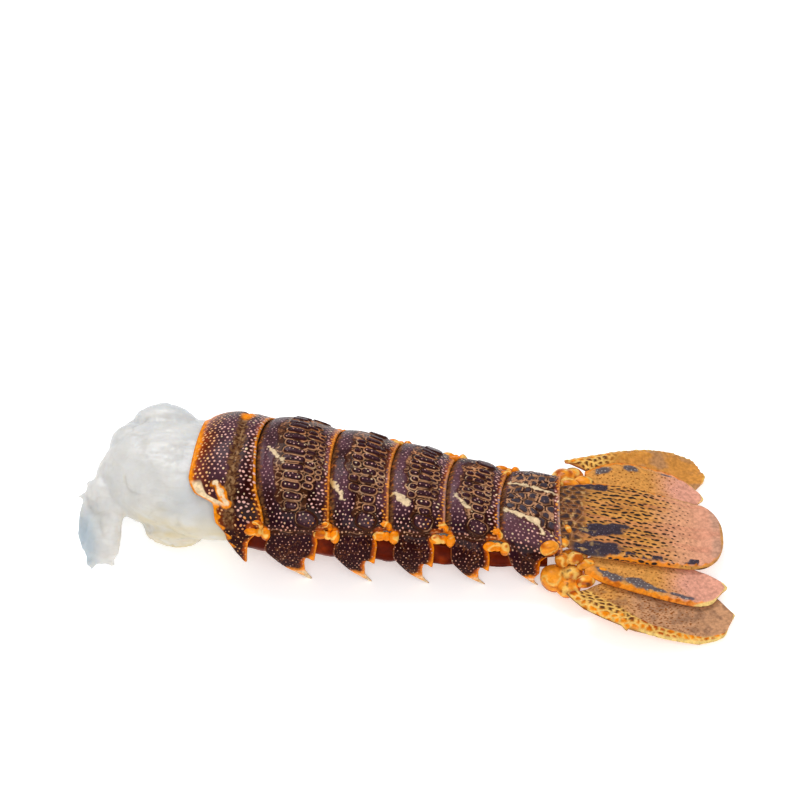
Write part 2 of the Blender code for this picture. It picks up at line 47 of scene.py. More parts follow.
# The body line, as in the CAD
BODY_YAW = math.radians(-3.5)
FAN_YAW = math.radians(4.6)
BEND_START = 86
BEND_END = 112
FRONT_RIM_X = -73.6
FRONT_RIM_Y = 2.3
STATIONS = np.array([0, 19.5, 39.2, 56.2, 72.4, 87.9, 105.0])
HALF_WIDTH = np.array([23.6, 24.3, 23.4, 22.2, 20.6, 18.8, 17.0])
CREST = np.array([29.6, 31.4, 28.8, 25.8, 22.4, 18.8, 16.6])
WIDEST_LEVEL = np.array([12.0, 12.0, 11.5, 10.8, 9.4, 8.0, 6.5])
HINGE_LEVEL = np.array([19.5, 19.4, 19.3, 19.0, 17.6, 15.4, 12.4])
SQUARENESS = np.array([1.0, 1.0, 1.0, 1.0, 1.0, 0.9, 0.58])
RING_TURN = np.radians([0.0, 3.5, 3.5, 2.5, 1.6, 1.0, 0.0])
SWELL = np.array([2.0, 1.7, 1.3, 1.2, 1.2, 0.9])
SPIKE_SWELL = 0.8
SPIKE_FORWARD = np.array([2.3, 2.3, 1.8, 1.2, 0.5, 0.0])
WALL = 1.0
GAP = 0.35
TUCK = 3.5
TUCK_DEPTH = WALL + GAP
EDGE_BOW = 0.8
SPIKE_INWARD = 0.10
SEGMENT_COUNT = 6

# The edges of the rings: distance behind a station, by row: 0 at the crest, 1 at the hinge and 2 at a tip.
# The front edges of the spikes are shares of the way to the station ahead.
REAR_EDGE = [(0, 0), (0.9, 0.3), (0.965, 0.5), (1.0, -2.6), (1.06, -3.0), (1.2, -1.9), (1.33, -1.6),
             (1.40, -1.9), (1.44, -3.9), (1.6, -4.7), (1.75, -4.7), (1.88, -3.9), (2.0, -2.9)]
SPIKE_FRONT = [(1.0, 0.9), (1.1, 0.865), (1.33, 0.82), (1.54, 0.68), (1.71, 0.54), (1.85, 0.38), (2.0, 0.21)]
LAST_REAR = [(0, 0), (0.9, -0.1), (0.965, -0.3), (1.0, -0.8), (1.1, -4.6), (1.22, -5.8), (1.54, -6.0),
             (1.62, -6.6), (1.75, -7.2), (1.88, -6.9), (2.0, -6.2)]
LAST_SPIKE_FRONT = [(1.0, 0.88), (1.12, 0.85), (1.48, 0.70), (1.70, 0.57), (2.0, 0.40)]
FIRST_FRONT = [(0, -1.0), (0.45, -1.0), (0.66, 1.3), (0.78, 7.0), (0.97, 7.8), (1.1, 9.5), (1.25, 12.0),
               (1.5, 14.0), (1.75, 15.6), (2.0, 17.2)]
FIRST_REAR = [(0, -1.8), (0.5, -1.0), (0.93, 1.3), (1.0, 0.4), (1.1, 0.0), (1.3, -0.6), (2.0, -1.4)]
FIRST_SPIKE_TIP = 6.5
FIRST_GROOVE = 10.4


def ramp(low, high, x):
    """0 up to low, 1 from high on and smooth between them. It falls where low is the larger."""
    t = np.clip((np.asarray(x, float) - low) / (high - low), 0, 1)
    return t * t * (3 - 2 * t)


def bell(x, middle, width):
    return np.exp(-((x - middle) / width) ** 2)


def hermite(t, start, end, start_slope, end_slope):
    return ((2 * t ** 3 - 3 * t * t + 1) * start + (t ** 3 - 2 * t * t + t) * start_slope
            + (3 * t * t - 2 * t ** 3) * end + (t ** 3 - t * t) * end_slope)


def curve(rows, x):
    """A smooth curve through the rows of a table, which never swings past them."""
    rows = np.asarray(rows, float)
    at, value = rows[:, 0], rows[:, 1]
    step = np.diff(at)
    slope = np.diff(value) / step
    product = slope[1:] * slope[:-1]
    mean = np.where(product > 0, 2 * product / (slope[1:] + slope[:-1] + 1e-12), 0)
    slopes = np.concatenate([[slope[0]], mean, [slope[-1]]])
    i = np.clip(np.searchsorted(at, x, side="right") - 1, 0, len(step) - 1)
    t = np.clip((x - at[i]) / step[i], 0, 1)
    return hermite(t, value[i], value[i + 1], step[i] * slopes[i], step[i] * slopes[i + 1])


LINE_STEP = 0.5
LINE_STATIONS = np.arange(-45, 120, LINE_STEP)


def yaw_at(s):
    return BODY_YAW + (FAN_YAW - BODY_YAW) * ramp(BEND_START, BEND_END, s)


LINE_X = np.cumsum(np.cos(yaw_at(LINE_STATIONS))) * LINE_STEP
LINE_Y = np.cumsum(np.sin(yaw_at(LINE_STATIONS))) * LINE_STEP
LINE_X += FRONT_RIM_X - np.interp(0, LINE_STATIONS, LINE_X)
LINE_Y += FRONT_RIM_Y - np.interp(0, LINE_STATIONS, LINE_Y)


def at_station(values, s):
    return np.interp(s, STATIONS, values)


def place(s, side, level):
    """Points on the rings at stations s, this far to the side of the body line and this high."""
    s, side, level = np.broadcast_arrays(s, side, level)
    turned = s - side * np.tan(at_station(RING_TURN, s))
    x, y = np.interp(turned, LINE_STATIONS, LINE_X), np.interp(turned, LINE_STATIONS, LINE_Y)
    yaw = yaw_at(s)
    return np.stack([x - side * np.sin(yaw), y + side * np.cos(yaw), level], -1) + FOOTPRINT_SHIFT


def level_of_row(s, row, tip):
    """The height of a row: an angle round the shell down to the hinge, then a height down the spike."""
    crest, widest = at_station(CREST, s), at_station(WIDEST_LEVEL, s)
    hinge, power = at_station(HINGE_LEVEL, s), at_station(SQUARENESS, s)
    share = np.clip((hinge - widest) / (crest - widest), 0, 1)
    hinge_angle = np.arccos(share ** (1 / power))
    arch = widest + (crest - widest) * np.cos(np.clip(row, 0, 1) * hinge_angle) ** power
    return np.where(row <= 1, arch, hinge + (tip - hinge) * (row - 1))


def side_at_level(s, level):
    """The shell's half width at a height, and the two parts of the direction that it faces there."""
    half, crest = at_station(HALF_WIDTH, s), at_station(CREST, s)
    widest, power = at_station(WIDEST_LEVEL, s), at_station(SQUARENESS, s)
    angle = np.arccos(np.clip((level - widest) / (crest - widest), 0, 1) ** (1 / power))
    facing = np.stack([np.sin(angle) / half, np.cos(angle) / (crest - widest)], -1)
    facing /= np.linalg.norm(facing, axis=-1, keepdims=True)
    below = 1 - np.clip(level, 0, None) / widest
    low = level < widest
    leaning = half * (1 - SPIKE_INWARD * np.clip(below, 0, 1) ** 1.5)
    side = np.where(low, leaning, half * np.sin(angle) ** power)
    return side, np.where(low, 1, facing[..., 0]), np.where(low, 0, facing[..., 1])


def shell_point(s, row, outward, tip, drop=0):
    """Points on the shell at signed rows, moved outward from its surface."""
    sign = np.where(row < 0, -1.0, 1.0)
    level = level_of_row(s, np.abs(row), tip) - drop
    side, facing_side, facing_up = side_at_level(s, level)
    return place(s, sign * (side + outward * facing_side), level + outward * facing_up)


# Noise and colour helpers

GRID = 64
LATTICE = np.random.default_rng(11).random((GRID, GRID, GRID)).astype(np.float32)


def noise3(x, y, z):
    """Smooth noise between -1 and 1."""
    cell = [np.floor(c).astype(int) for c in (x, y, z)]
    part = [c - np.floor(c) for c in (x, y, z)]
    part = [c * c * (3 - 2 * c) for c in part]
    total = 0
    for i in (0, 1):
        for j in (0, 1):
            for k in (0, 1):
                weight = ((part[0] if i else 1 - part[0]) * (part[1] if j else 1 - part[1])
                          * (part[2] if k else 1 - part[2]))
                corner = tuple((c + step) % GRID for c, step in zip(cell, (i, j, k)))
                total = total + weight * LATTICE[corner]
    return 2 * total - 1


def fractal(x, y, z=0.0, octaves=3):
    total, size = 0, 1.0
    for octave in range(octaves):
        x_part, y_part, z_part = (c * 2 ** octave + shift * octave for c, shift in ((x, 17), (y, 5), (z, 31)))
        total = total + size * noise3(x_part, y_part, z_part)
        size *= 0.5
    return total / 1.75


def mix(first, second, share):
    return first + (np.asarray(second, float) - first) * np.asarray(share)[..., None]


def colour(red, green, blue):
    """A linear colour from the usual 0 to 255 screen values."""
    value = np.array([red, green, blue]) / 255
    return np.where(value <= 0.04045, value / 12.92, ((value + 0.055) / 1.055) ** 2.4)


def material_nodes(name):
    material = bpy.data.materials.new(name)
    material.use_nodes = True
    nodes, links = material.node_tree.nodes, material.node_tree.links
    return material, nodes, links, nodes["Principled BSDF"]


def attribute(nodes, name):
    node = nodes.new("ShaderNodeAttribute")
    node.attribute_name = name
    return node


def add_layer(mesh, name, values):
    """A layer of the mesh's vertices: a colour has three parts, a plain value one."""
    if values.ndim == 2:
        layer = mesh.attributes.new(name, "FLOAT_COLOR", "POINT")
        packed = np.concatenate([values, np.ones((len(values), 1))], 1).astype(np.float32)
        layer.data.foreach_set("color", packed.ravel())
    else:
        layer = mesh.attributes.new(name, "FLOAT", "POINT")
        layer.data.foreach_set("value", values.astype(np.float32))


def make_mesh(name, points, faces, layers):
    """A smooth mesh in metres, with its painted layers."""
    mesh = bpy.data.meshes.new(name)
    mesh.from_pydata((points * MM).tolist(), [], faces)
    for layer_name, values in layers.items():
        add_layer(mesh, layer_name, values)
    mesh.shade_smooth()
    return mesh


def add_piece(name, mesh, material, nodes=()):
    mesh.materials.append(material)
    obj = bpy.data.objects.new(name, mesh)
    bpy.context.scene.collection.objects.link(obj)
    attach(obj, "root")
    if nodes:
        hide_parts(*nodes)
    return obj


def sheet_faces(rows, columns):
    """The quads of a grid whose columns run round in a loop."""
    index = np.arange(rows * columns).reshape(rows, columns)
    right = np.roll(index, -1, axis=1)
    return np.stack([index[:-1], right[:-1], right[1:], index[1:]], -1).reshape(-1, 4)


def closed_sheet(name, top, bottom, top_layers, bottom_layers):
    """A closed plate: a fine top grid, joined round its column edges to a coarse underside grid.

    Both grids have the same rows. The underside's columns run back from the last top column to the first.
    """
    rows, coarse = bottom.shape[:2]
    points = np.concatenate([top, bottom], 1)
    columns = points.shape[1]
    points = points.reshape(-1, 3)
    quads = sheet_faces(rows, columns)
    ends = [list(range(columns))[::-1], [(rows - 1) * columns + c for c in range(columns)]]
    faces = quads.tolist() + ends
    layers = {}
    for key, values in top_layers.items():
        under = np.broadcast_to(np.asarray(bottom_layers[key], float), (rows, coarse) + values.shape[2:])
        layers[key] = np.concatenate([values, under], 1).reshape((-1,) + values.shape[2:])
    first, second, third, last = (points[quads[:, i]] for i in range(4))
    volume = np.einsum("ij,ij->", first, np.cross(second, third) + np.cross(third, last))
    if volume < 0:
        faces = [face[::-1] for face in faces]
    return make_mesh(name, points, faces, layers)


# Dots, cells and lines on the unrolled shell

# A distance that stands for no dot or line nearby
NONE_NEAR = 9.0


def scatter(seed, s_range, b_range, spacing, jitter):
    """Seeds on a loose honeycomb over the unrolled surface."""
    rng = np.random.default_rng(seed)
    lines = []
    for k, b in enumerate(np.arange(*b_range, spacing * 0.87)):
        at = np.arange(s_range[0] + (k % 2) * spacing / 2, s_range[1], spacing)
        lines.append(np.stack([at, np.full(len(at), b)], -1))
    seeds = np.concatenate(lines)
    return seeds + rng.uniform(-jitter, jitter, seeds.shape) * spacing, rng


def dot_field(s, b, seeds, long, short, angle):
    """Each point's distance from the edge of its nearest dot, less than 0 inside it, and the dot's number."""
    distance = np.full(s.shape, NONE_NEAR)
    nearest = np.zeros(s.shape, int)
    for i in range(len(s)):
        near = np.flatnonzero((seeds[:, 1] > b[i].min() - 3) & (seeds[:, 1] < b[i].max() + 3))
        if not len(near):
            continue
        ds, db = s[i][:, None] - seeds[near, 0], b[i][:, None] - seeds[near, 1]
        along = ds * np.cos(angle[near]) + db * np.sin(angle[near])
        across = db * np.cos(angle[near]) - ds * np.sin(angle[near])
        away = (np.hypot(along / long[near], across / short[near]) - 1) * short[near]
        pick = away.argmin(1)
        distance[i] = away[np.arange(len(pick)), pick]
        nearest[i] = near[pick]
    return distance, nearest


def cell_field(s, b, seeds, stretch):
    """Each point's distance from the border of its cell, where the cells are the seeds' nearest ground."""
    border = np.full(s.shape, NONE_NEAR)
    for i in range(len(s)):
        near = seeds[(seeds[:, 1] > b[i].min() - 9) & (seeds[:, 1] < b[i].max() + 9)]
        if len(near) < 2:
            continue
        ds, db = (s[i][:, None] - near[:, 0]) / stretch, b[i][:, None] - near[:, 1]
        away = ds * ds + db * db
        order = np.argsort(away, axis=1)[:, :3]
        line = np.arange(len(away))
        first = order[:, 0]
        for other in order[:, 1:].T:
            gap = np.hypot((near[first, 0] - near[other, 0]) / stretch, near[first, 1] - near[other, 1])
            border[i] = np.minimum(border[i], (away[line, other] - away[line, first]) / (2 * gap + 1e-6))
    return border


def block_field(s, b, blocks):
    """Each point's distance from the edge of the nearest rounded block, less than 0 inside it."""
    best = np.full(s.shape, NONE_NEAR)
    for i in range(len(s)):
        near = blocks[(blocks[:, 1] > b[i].min() - 4) & (blocks[:, 1] < b[i].max() + 4)]
        if not len(near):
            continue
        ds, db = s[i][:, None] - near[:, 0], b[i][:, None] - near[:, 1]
        along = np.abs(ds * np.cos(near[:, 4]) + db * np.sin(near[:, 4]))
        across = np.abs(db * np.cos(near[:, 4]) - ds * np.sin(near[:, 4]))
        corner = 0.9 * np.minimum(near[:, 2], near[:, 3])
        out_s, out_b = along - near[:, 2] + corner, across - near[:, 3] + corner
        away = np.hypot(np.maximum(out_s, 0), np.maximum(out_b, 0)) + np.minimum(np.maximum(out_s, out_b), 0)
        best[i] = (away - corner).min(1)
    return best


def line_distance(s, b, points):
    """Each point's distance from a bent line."""
    best = np.full(s.shape, np.inf)
    for (s0, b0), (s1, b1) in zip(points[:-1], points[1:]):
        ds, db = s1 - s0, b1 - b0
        t = np.clip(((s - s0) * ds + (b - b0) * db) / (ds * ds + db * db), 0, 1)
        best = np.minimum(best, np.hypot(s - s0 - t * ds, b - b0 - t * db))
    return best


def oval(s, b, long, short):
    """How far outside an oval patch a point is, as a share of its size, less than 0 inside it."""
    return np.hypot(s / long, b / short) - 1


# The palette

DARK_VIOLET = colour(32, 4, 4)
BLUE_VIOLET = colour(40, 11, 25)
PAINTED_SHEEN_VIOLET = colour(108, 70, 80)
MAROON = colour(42, 2, 0)
BLACK_MAROON = colour(40, 4, 0)
CELL_GREY = colour(70, 42, 48)
CELL_SHADOW = colour(26, 10, 4)
POLYGON_GREY = colour(62, 54, 62)
POLYGON_SHADOW = colour(30, 16, 14)
GROOVE_BROWN = colour(70, 34, 12)
SCRATCH_BROWN = colour(112, 62, 30)
RUST = colour(150, 48, 4)
NET_TAN = colour(188, 138, 102)
NET_ORANGE = colour(192, 108, 40)
FRINGE_BROWN = colour(116, 78, 46)
HAIR_TAN = colour(170, 132, 90)
CREAM = colour(234, 206, 164)
WORN_YELLOW = colour(206, 160, 84)
DOT_PINK = colour(230, 176, 162)
DOT_LILAC = colour(182, 138, 150)
DOT_RUST = colour(200, 134, 104)
DOT_ORANGE = colour(240, 156, 60)
DOT_PALE_ORANGE = colour(246, 176, 96)
ORANGE = colour(236, 134, 8)
DEEP_ORANGE = colour(172, 74, 4)
YELLOW_ORANGE = colour(244, 172, 52)
INNER_SHELL = colour(214, 160, 110)
RIM_COLOURS = [colour(238, 138, 24), colour(232, 132, 48), colour(230, 146, 84), colour(212, 154, 136),
               colour(168, 146, 164), colour(186, 146, 130)]

MEAT_WHITE = colour(210, 209, 205)
MEAT_COOL = colour(194, 199, 202)
MEAT_CREASE_SHADE = colour(178, 172, 158)
MEAT_WARM = colour(204, 186, 136)
MEAT_LINE = colour(170, 162, 144)
MEAT_THIN = colour(164, 182, 194)
BELLY_DARK = colour(86, 18, 0)
BELLY_RED = colour(128, 42, 2)
BELLY_PALE = colour(176, 120, 84)
BELLY_INSIDE = colour(120, 60, 40)

TAN = colour(210, 146, 72)
SALMON = colour(218, 156, 118)
PINK = colour(218, 154, 130)
MAUVE = colour(192, 142, 104)
BASE_BROWN = colour(132, 84, 44)
STREAK_BROWN = colour(158, 94, 42)
STREAK_ROSE = colour(196, 122, 96)
INK = colour(44, 32, 26)
INK_BLUE = colour(38, 40, 58)
INK_GREY = colour(72, 76, 88)
INK_SPECK = colour(160, 156, 172)
PALE_SPECK = colour(196, 190, 180)
SPOT_BROWN = colour(132, 72, 20)
SCALE_GREY = colour(52, 42, 48)
SCALE_FLECK = colour(222, 178, 112)
GLASSY = colour(176, 140, 118)
TELSON_MARGIN = colour(196, 142, 74)
TELSON_UNDERSIDE = colour(206, 150, 110)
BLADE_UNDERSIDE = colour(206, 140, 84)
PALE_EDGE = colour(236, 204, 124)
MOTTLE_BROWN = colour(120, 88, 70)
RIDGE_CREAM = colour(230, 184, 98)
RIDGE_DARK = colour(62, 44, 30)
RIM_BROWN = colour(96, 60, 30)
AMBER = colour(206, 138, 58)
DULL_AMBER = colour(178, 128, 82)
YELLOW_RIM = colour(226, 180, 84)
LUMP_YELLOW = colour(240, 164, 56)
LUMP_CREAM = colour(240, 198, 104)
LUMP_FLECK = colour(70, 44, 30)

SHELL_LAYERS = ("net", "net_tone", "rough", "dot", "dot_tone", "under")


class Skin:
    """A painted grid: its places along and round in millimetres, its colour, and its material's layers."""

    def __init__(self, s, b, rough):
        self.s, self.b = s, b
        self.relief, self.bump = np.zeros(s.shape), np.zeros(s.shape)
        self.net, self.net_tone = np.full(s.shape, NONE_NEAR), np.broadcast_to(NET_TAN, s.shape + (3,))
        self.rough = np.full(s.shape, rough)

    def noise(self, s_scale, b_scale, seed, octaves=2):
        return fractal(self.s * s_scale, self.b * b_scale, seed, octaves)

    def tint(self, tone, share):
        """Mixes a colour into the ground."""
        self.under = mix(self.under, tone, share)

    def tint_dots(self, tone, share):
        self.dot_tone = mix(self.dot_tone, tone, share)

    def layers(self):
        return {name: getattr(self, name) for name in SHELL_LAYERS}


def inner_side(tone, rough, dot_tone):
    """The layers of a plate's plain underside."""
    return {"under": tone, "net": NONE_NEAR, "net_tone": NET_TAN, "rough": rough, "dot": NONE_NEAR,
            "dot_tone": dot_tone}


# The six shell segments

SHELL_ROWS = 430
SHELL_FINE = 88
SHELL_ROUGHNESS = 0.22
INNER_SHARES = (1.0, 0.985, 0.93, 0.75, 0.5, 0.25, 0.07, 0.015, 0.0)
INNER_DEPTHS = (0.45, 0.75, 1.0, 1.0, 1.0, 1.0, 1.0, 0.75, 0.45)
TOOTH_DROP = 2.7


def rear_of(index, row):
    rear_edge = FIRST_REAR if index == 0 else LAST_REAR if index == SEGMENT_COUNT - 1 else REAR_EDGE
    bow = EDGE_BOW * (1 - ramp(0, 1, row))
    return STATIONS[index + 1] + curve(rear_edge, row) - bow - SPIKE_FORWARD[index] * ramp(1.0, 1.4, row)


def front_of(index, row):
    if index == 0:
        return curve(FIRST_FRONT, row) - SPIKE_FORWARD[0] * ramp(1.0, 1.4, row)
    before, station = STATIONS[index], STATIONS[index + 1]
    spike_front = LAST_SPIKE_FRONT if index == SEGMENT_COUNT - 1 else SPIKE_FRONT
    tucked = before - TUCK - EDGE_BOW * (1 - ramp(0, 1, row))
    spike = station - curve(spike_front, row) * (station - before)
    spike = spike - SPIKE_FORWARD[index] * ramp(1.0, 1.4, row)
    return tucked + (spike - tucked) * np.clip((row - 0.9) / 0.1, 0, 1)


def even_rows(index, count):
    """Signed rows evenly spaced along the shell's surface, and their distance round it from the crest."""
    fine = np.linspace(-2, 2, 2001)
    tip = FIRST_SPIKE_TIP if index == 0 else 0
    middle = (STATIONS[index] + STATIONS[index + 1]) / 2
    line = shell_point(np.full(fine.shape, middle), fine, 0, tip)
    length = np.concatenate([[0], np.cumsum(np.linalg.norm(np.diff(line, axis=0), axis=1))])
    length -= np.interp(0, fine, length)
    even = np.linspace(length[0], length[-1], count)
    return np.interp(even, length, fine), even


class Ring(Skin):
    """One segment's grid: stations by signed rows, and the distances that its paint goes by."""

    def __init__(self, index):
        rows, arc = even_rows(index, SHELL_ROWS)
        share = np.concatenate([np.linspace(0, 0.1, 5)[:-1], np.linspace(0.1, 1, SHELL_FINE - 4)])
        self.index = index
        self.row, self.u = np.broadcast_arrays(rows[:, None], share[None, :])
        self.down = np.abs(self.row)
        self.front, self.rear = front_of(index, self.down), rear_of(index, self.down)
        s = self.front + (self.rear - self.front) * self.u
        super().__init__(s, np.broadcast_to(arc[:, None], s.shape), SHELL_ROUGHNESS)
        self.tip = FIRST_SPIKE_TIP if index == 0 else 0
        self.hinge_arc = np.interp(1, rows, arc)
        self.from_front = s - (rear_of(index - 1, self.down) if index else self.front)
        self.to_rear = self.rear - s
        self.arch = 1 - ramp(0.94, 1.04, self.down)
        self.level = level_of_row(s, self.down, self.tip)

    def smooth_outward(self):
        """How far the surface stands off the smooth shell, before its relief."""
        index = self.index
        before, station = STATIONS[index], STATIONS[index + 1]
        along = np.clip((self.s - before) / (station - before), 0, 1)
        on_arch = 1 - ramp(0.8, 1.2, self.down)
        outward = SWELL[index] * np.sin(math.pi * along ** 0.8) * on_arch
        outward += SPIKE_SWELL * np.sin(math.pi * self.u) * (1 - on_arch) * (2 - self.down)
        if index:
            free = ramp(-1.1, 1.2, self.from_front)
            outward = (outward + TUCK_DEPTH) * free - TUCK_DEPTH
        return outward

    def drop(self):
        """How far the spike's small rear tooth hangs below its own row."""
        if self.index in (0, SEGMENT_COUNT - 1):
            return np.zeros(self.s.shape)
        rise = np.clip((self.down - 1.2) / 0.18, 0, 1) ** 2
        fall = np.clip((1.43 - self.down) / 0.04, 0, 1)
        return TOOTH_DROP * rise * fall * self.u ** 7

    def points(self):
        return shell_point(self.s, self.row, self.smooth_outward() + self.relief, self.tip, self.drop())

    def inner_points(self):
        """The underside, from the rear edge back to the front."""
        share = np.array(INNER_SHARES)
        pick = np.abs(self.u[0][:, None] - share).argmin(0)
        row = self.row[:, pick]
        depth = np.array(INNER_DEPTHS) * WALL * np.where(np.abs(row) > 1.7, 0.6, 1)
        inset = np.where(share > 0.5, -0.12, 0.12) * (np.abs(share - 0.5) > 0.48)
        outward = self.smooth_outward()[:, pick] - depth
        return shell_point(self.s[:, pick] + inset, row, outward, self.tip, self.drop()[:, pick])


# The cells of each middle segment, in columns: distance behind the front edge, length, spacing round the
# body, and how far down the sides the column runs
CELL_COLUMNS = {
    1: ((8.5, 6.0, 2.8, 1.0), (13.2, 2.6, 2.2, 0.66), (16.0, 1.5, 1.8, 0.5)),
    2: ((6.6, 2.8, 2.6, 0.62), (10.4, 4.2, 2.9, 1.0), (13.6, 1.7, 2.0, 0.6)),
    3: ((6.0, 2.4, 2.4, 0.62), (9.4, 4.0, 2.7, 1.0), (12.2, 1.5, 1.9, 0.6)),
    4: ((5.2, 2.2, 2.2, 0.62), (8.4, 3.4, 2.5, 1.0), (11.0, 1.4, 1.8, 0.6)),
}
CELL_GAP = 0.9
# The zone that the cells fill, as distance behind the front edge and ahead of the rear rim
CELLS_FROM = {1: 5.2, 2: 4.4, 3: 4.0, 4: 3.4}
CELLS_TO_REAR = {1: 3.6, 2: 3.6, 3: 3.7, 4: 3.6}
# The torn pale mark of each middle segment: distances behind the front edge and round from the crest, and
# its half width
PALE_MARKS = {
    1: (((3.8, -1.8), (5.7, -4.3), (7.9, -6.4)), 0.15),
    2: (((0.2, -8.0), (1.6, -10.5), (3.6, -12.9)), 0.35),
    3: (((1.6, -8.0), (3.5, -9.4), (5.4, -10.3)), 0.6),
    4: (((2.7, -4.6), (4.7, -5.8), (7.0, -7.9)), 0.35),
}


def paint_ground(ring):
    """The dark shell's colour: violet and blue black, maroon towards the belly, and a painted sheen up the
    arch.
    """
    broad = ring.noise(0.11, 0.11, 3 + ring.index, 3)
    ring.under = mix(DARK_VIOLET, BLUE_VIOLET, ramp(-0.1, 0.5, broad))
    ring.tint(MAROON, ramp(0.0, 0.4, -broad) * 0.8)
    # Painted sheen: grey violet laid on the upper arch to stand for reflected light, kept off the cell zone
    sheen = ramp(0.92, 0.3, ring.down) * ramp(-0.5, 0.4, broad)
    bare = 1 - ramp(0.0, 0.3, ring.to_rear - 3.6) * (ring.index > 0) * ramp(5.0, 7.0, ring.from_front)
    ring.tint(PAINTED_SHEEN_VIOLET, (0.48 + 0.06 * ring.index) * sheen * bare)
    ring.tint(MAROON, 0.75 * ramp(0.95, 1.3, ring.down) * ramp(-0.5, 0.2, broad))


def paint_rims(ring):
    """The rear rim's orange line and the brown soft fringe in front."""
    index = ring.index
    wave = 0.25 * ring.noise(0.5, 0.9, 7)
    warm = ramp(2.2, 0.6, ring.to_rear + wave * 3) * ring.arch
    corner = np.maximum(ramp(0.55, 0.95, ring.down), ramp(-2, 8, ring.b))
    ring.tint(DEEP_ORANGE, warm * (0.2 + 0.65 * corner * ramp(-0.4, 0.3, wave * 4)))
    line = ramp(0.78, 0.5, ring.to_rear + 0.3 * wave) * ring.arch
    rim = mix(RIM_COLOURS[index], ORANGE, 0.85 * corner)
    rim = rim * (0.75 + 0.35 * ring.noise(1.2, 1.2, 5))[..., None]
    ring.tint(rim, line)
    if index:
        strands = ring.noise(1.1, 2.6, 1.5, 3)
        fringe = ramp(1.9, 0.7, ring.from_front + 1.2 * strands) * ring.arch
        hairs = mix(FRINGE_BROWN, GROOVE_BROWN, ramp(-0.3, 0.2, strands))
        hairs = mix(hairs, NET_ORANGE, 0.8 * ramp(0.25, 0.5, ring.noise(1.4, 1.6, 21)))
        ring.tint(hairs, 0.9 * fringe)
        ring.rough += 0.35 * fringe
        ring.bump += 0.08 * strands * fringe
        ring.dot += 0.7 * fringe


def paint_hinges(ring):
    """The orange skin round the hinge knobs, at both lower corners of a segment's arch."""
    index, s = ring.index, ring.s
    reach = np.abs(ring.b) - ring.hinge_arc
    blotch = 0.8 * ring.noise(0.5, 0.5, 51)
    if index:
        away = np.hypot(s - STATIONS[index] - 1.4, reach - 0.6) + blotch
        ring.tint(DEEP_ORANGE, 0.95 * ramp(2.1, 1.1, away))
        ring.tint(ORANGE, 0.6 * ramp(1.8, 0.9, away))
    if index < SEGMENT_COUNT - 1:
        away = np.hypot(s - STATIONS[index + 1] + 2.2, reach + 0.4) + blotch
        ring.tint(DEEP_ORANGE, 0.7 * ramp(1.7, 0.9, away))


# Spacing and size of the dots, and their colours by how often each is drawn
DOTS = (1.27, 0.30)
FIRST_DOTS = (1.4, 0.34)
DOT_TONES = (DOT_PINK, DOT_PINK, DOT_PINK, CREAM)


def add_dots(ring):
    """Pale dots all over: small and round in front, larger and drawn out towards the rear rim."""
    s, b, index = ring.s, ring.b, ring.index
    spacing, size = FIRST_DOTS if index == 0 else DOTS
    seeds, rng = scatter(70 + index, (s.min() - 2, s.max() + 2), (b.min() - 2, b.max() + 2), spacing, 0.22)
    count = len(seeds)
    size = size * rng.uniform(0.65, 1.2, count)
    to_station = STATIONS[index + 1] - seeds[:, 0]
    rearward = ramp(8, 1.5, to_station)
    arch = np.abs(seeds[:, 1]) < ring.hinge_arc
    long = size * (1.05 + 0.5 * rearward * arch)
    angle = rng.normal(0, 0.45, count) + rng.uniform(-1.5, 1.5, count) * (1 - rearward * arch)
    ring.dot, nearest = dot_field(s, b, seeds, long, size * (1 - 0.1 * rearward), angle)
    tones = np.array(DOT_TONES)[rng.integers(0, len(DOT_TONES), count)]
    lean = rng.random(count)
    warm = ramp(3.4, 0.6, to_station) * arch > 0.35 + 0.5 * lean
    low = (np.abs(np.abs(seeds[:, 1]) - ring.hinge_arc) < 4) & (to_station < 6) & (lean > 0.4)
    ring.dot_tone = np.where((warm | low)[:, None], DOT_ORANGE, tones)[nearest]
    front = ramp(9, 3, ring.from_front) * ramp(0.85, 0.6, ring.down) * (index > 0)
    ring.dot += 0.07 * front + 0.10 * ramp(0.98, 1.06, ring.down)
    ring.tint_dots(DOT_LILAC, 0.6 * front)
    ring.tint_dots(DOT_RUST, 0.65 * ramp(0.75, 1.0, ring.down))


def cell_blocks(index, half):
    """The cells as rounded blocks, and a larger one low down on each side: place, half lengths and turn."""
    rng = np.random.default_rng(40 + index)
    blocks = []
    for middle, length, pitch, reach in CELL_COLUMNS[index]:
        for line in np.arange(-half * reach, half * reach, pitch):
            low = ramp(0.5, 1.0, -line / half)
            loose = 0.5 + 0.8 * ramp(0, 10, line)
            at = STATIONS[index] + middle + rng.normal(0, 0.35) * loose + 0.9 * low
            around = line + rng.uniform(-0.14, 0.14) * pitch * loose
            half_length = 0.5 * length * rng.uniform(0.78, 1.12) * (1 - 0.22 * low)
            half_width = 0.5 * (pitch - CELL_GAP) * rng.uniform(0.92, 1.12)
            blocks.append((at, around, half_length, half_width, rng.normal(0, 0.09) * loose))
    for sign in (-1, 1):
        blocks.append((STATIONS[index + 1] - 6.2, sign * (half + 3.3), 2.7, 2.0, sign * 0.25))
    return np.array(blocks)


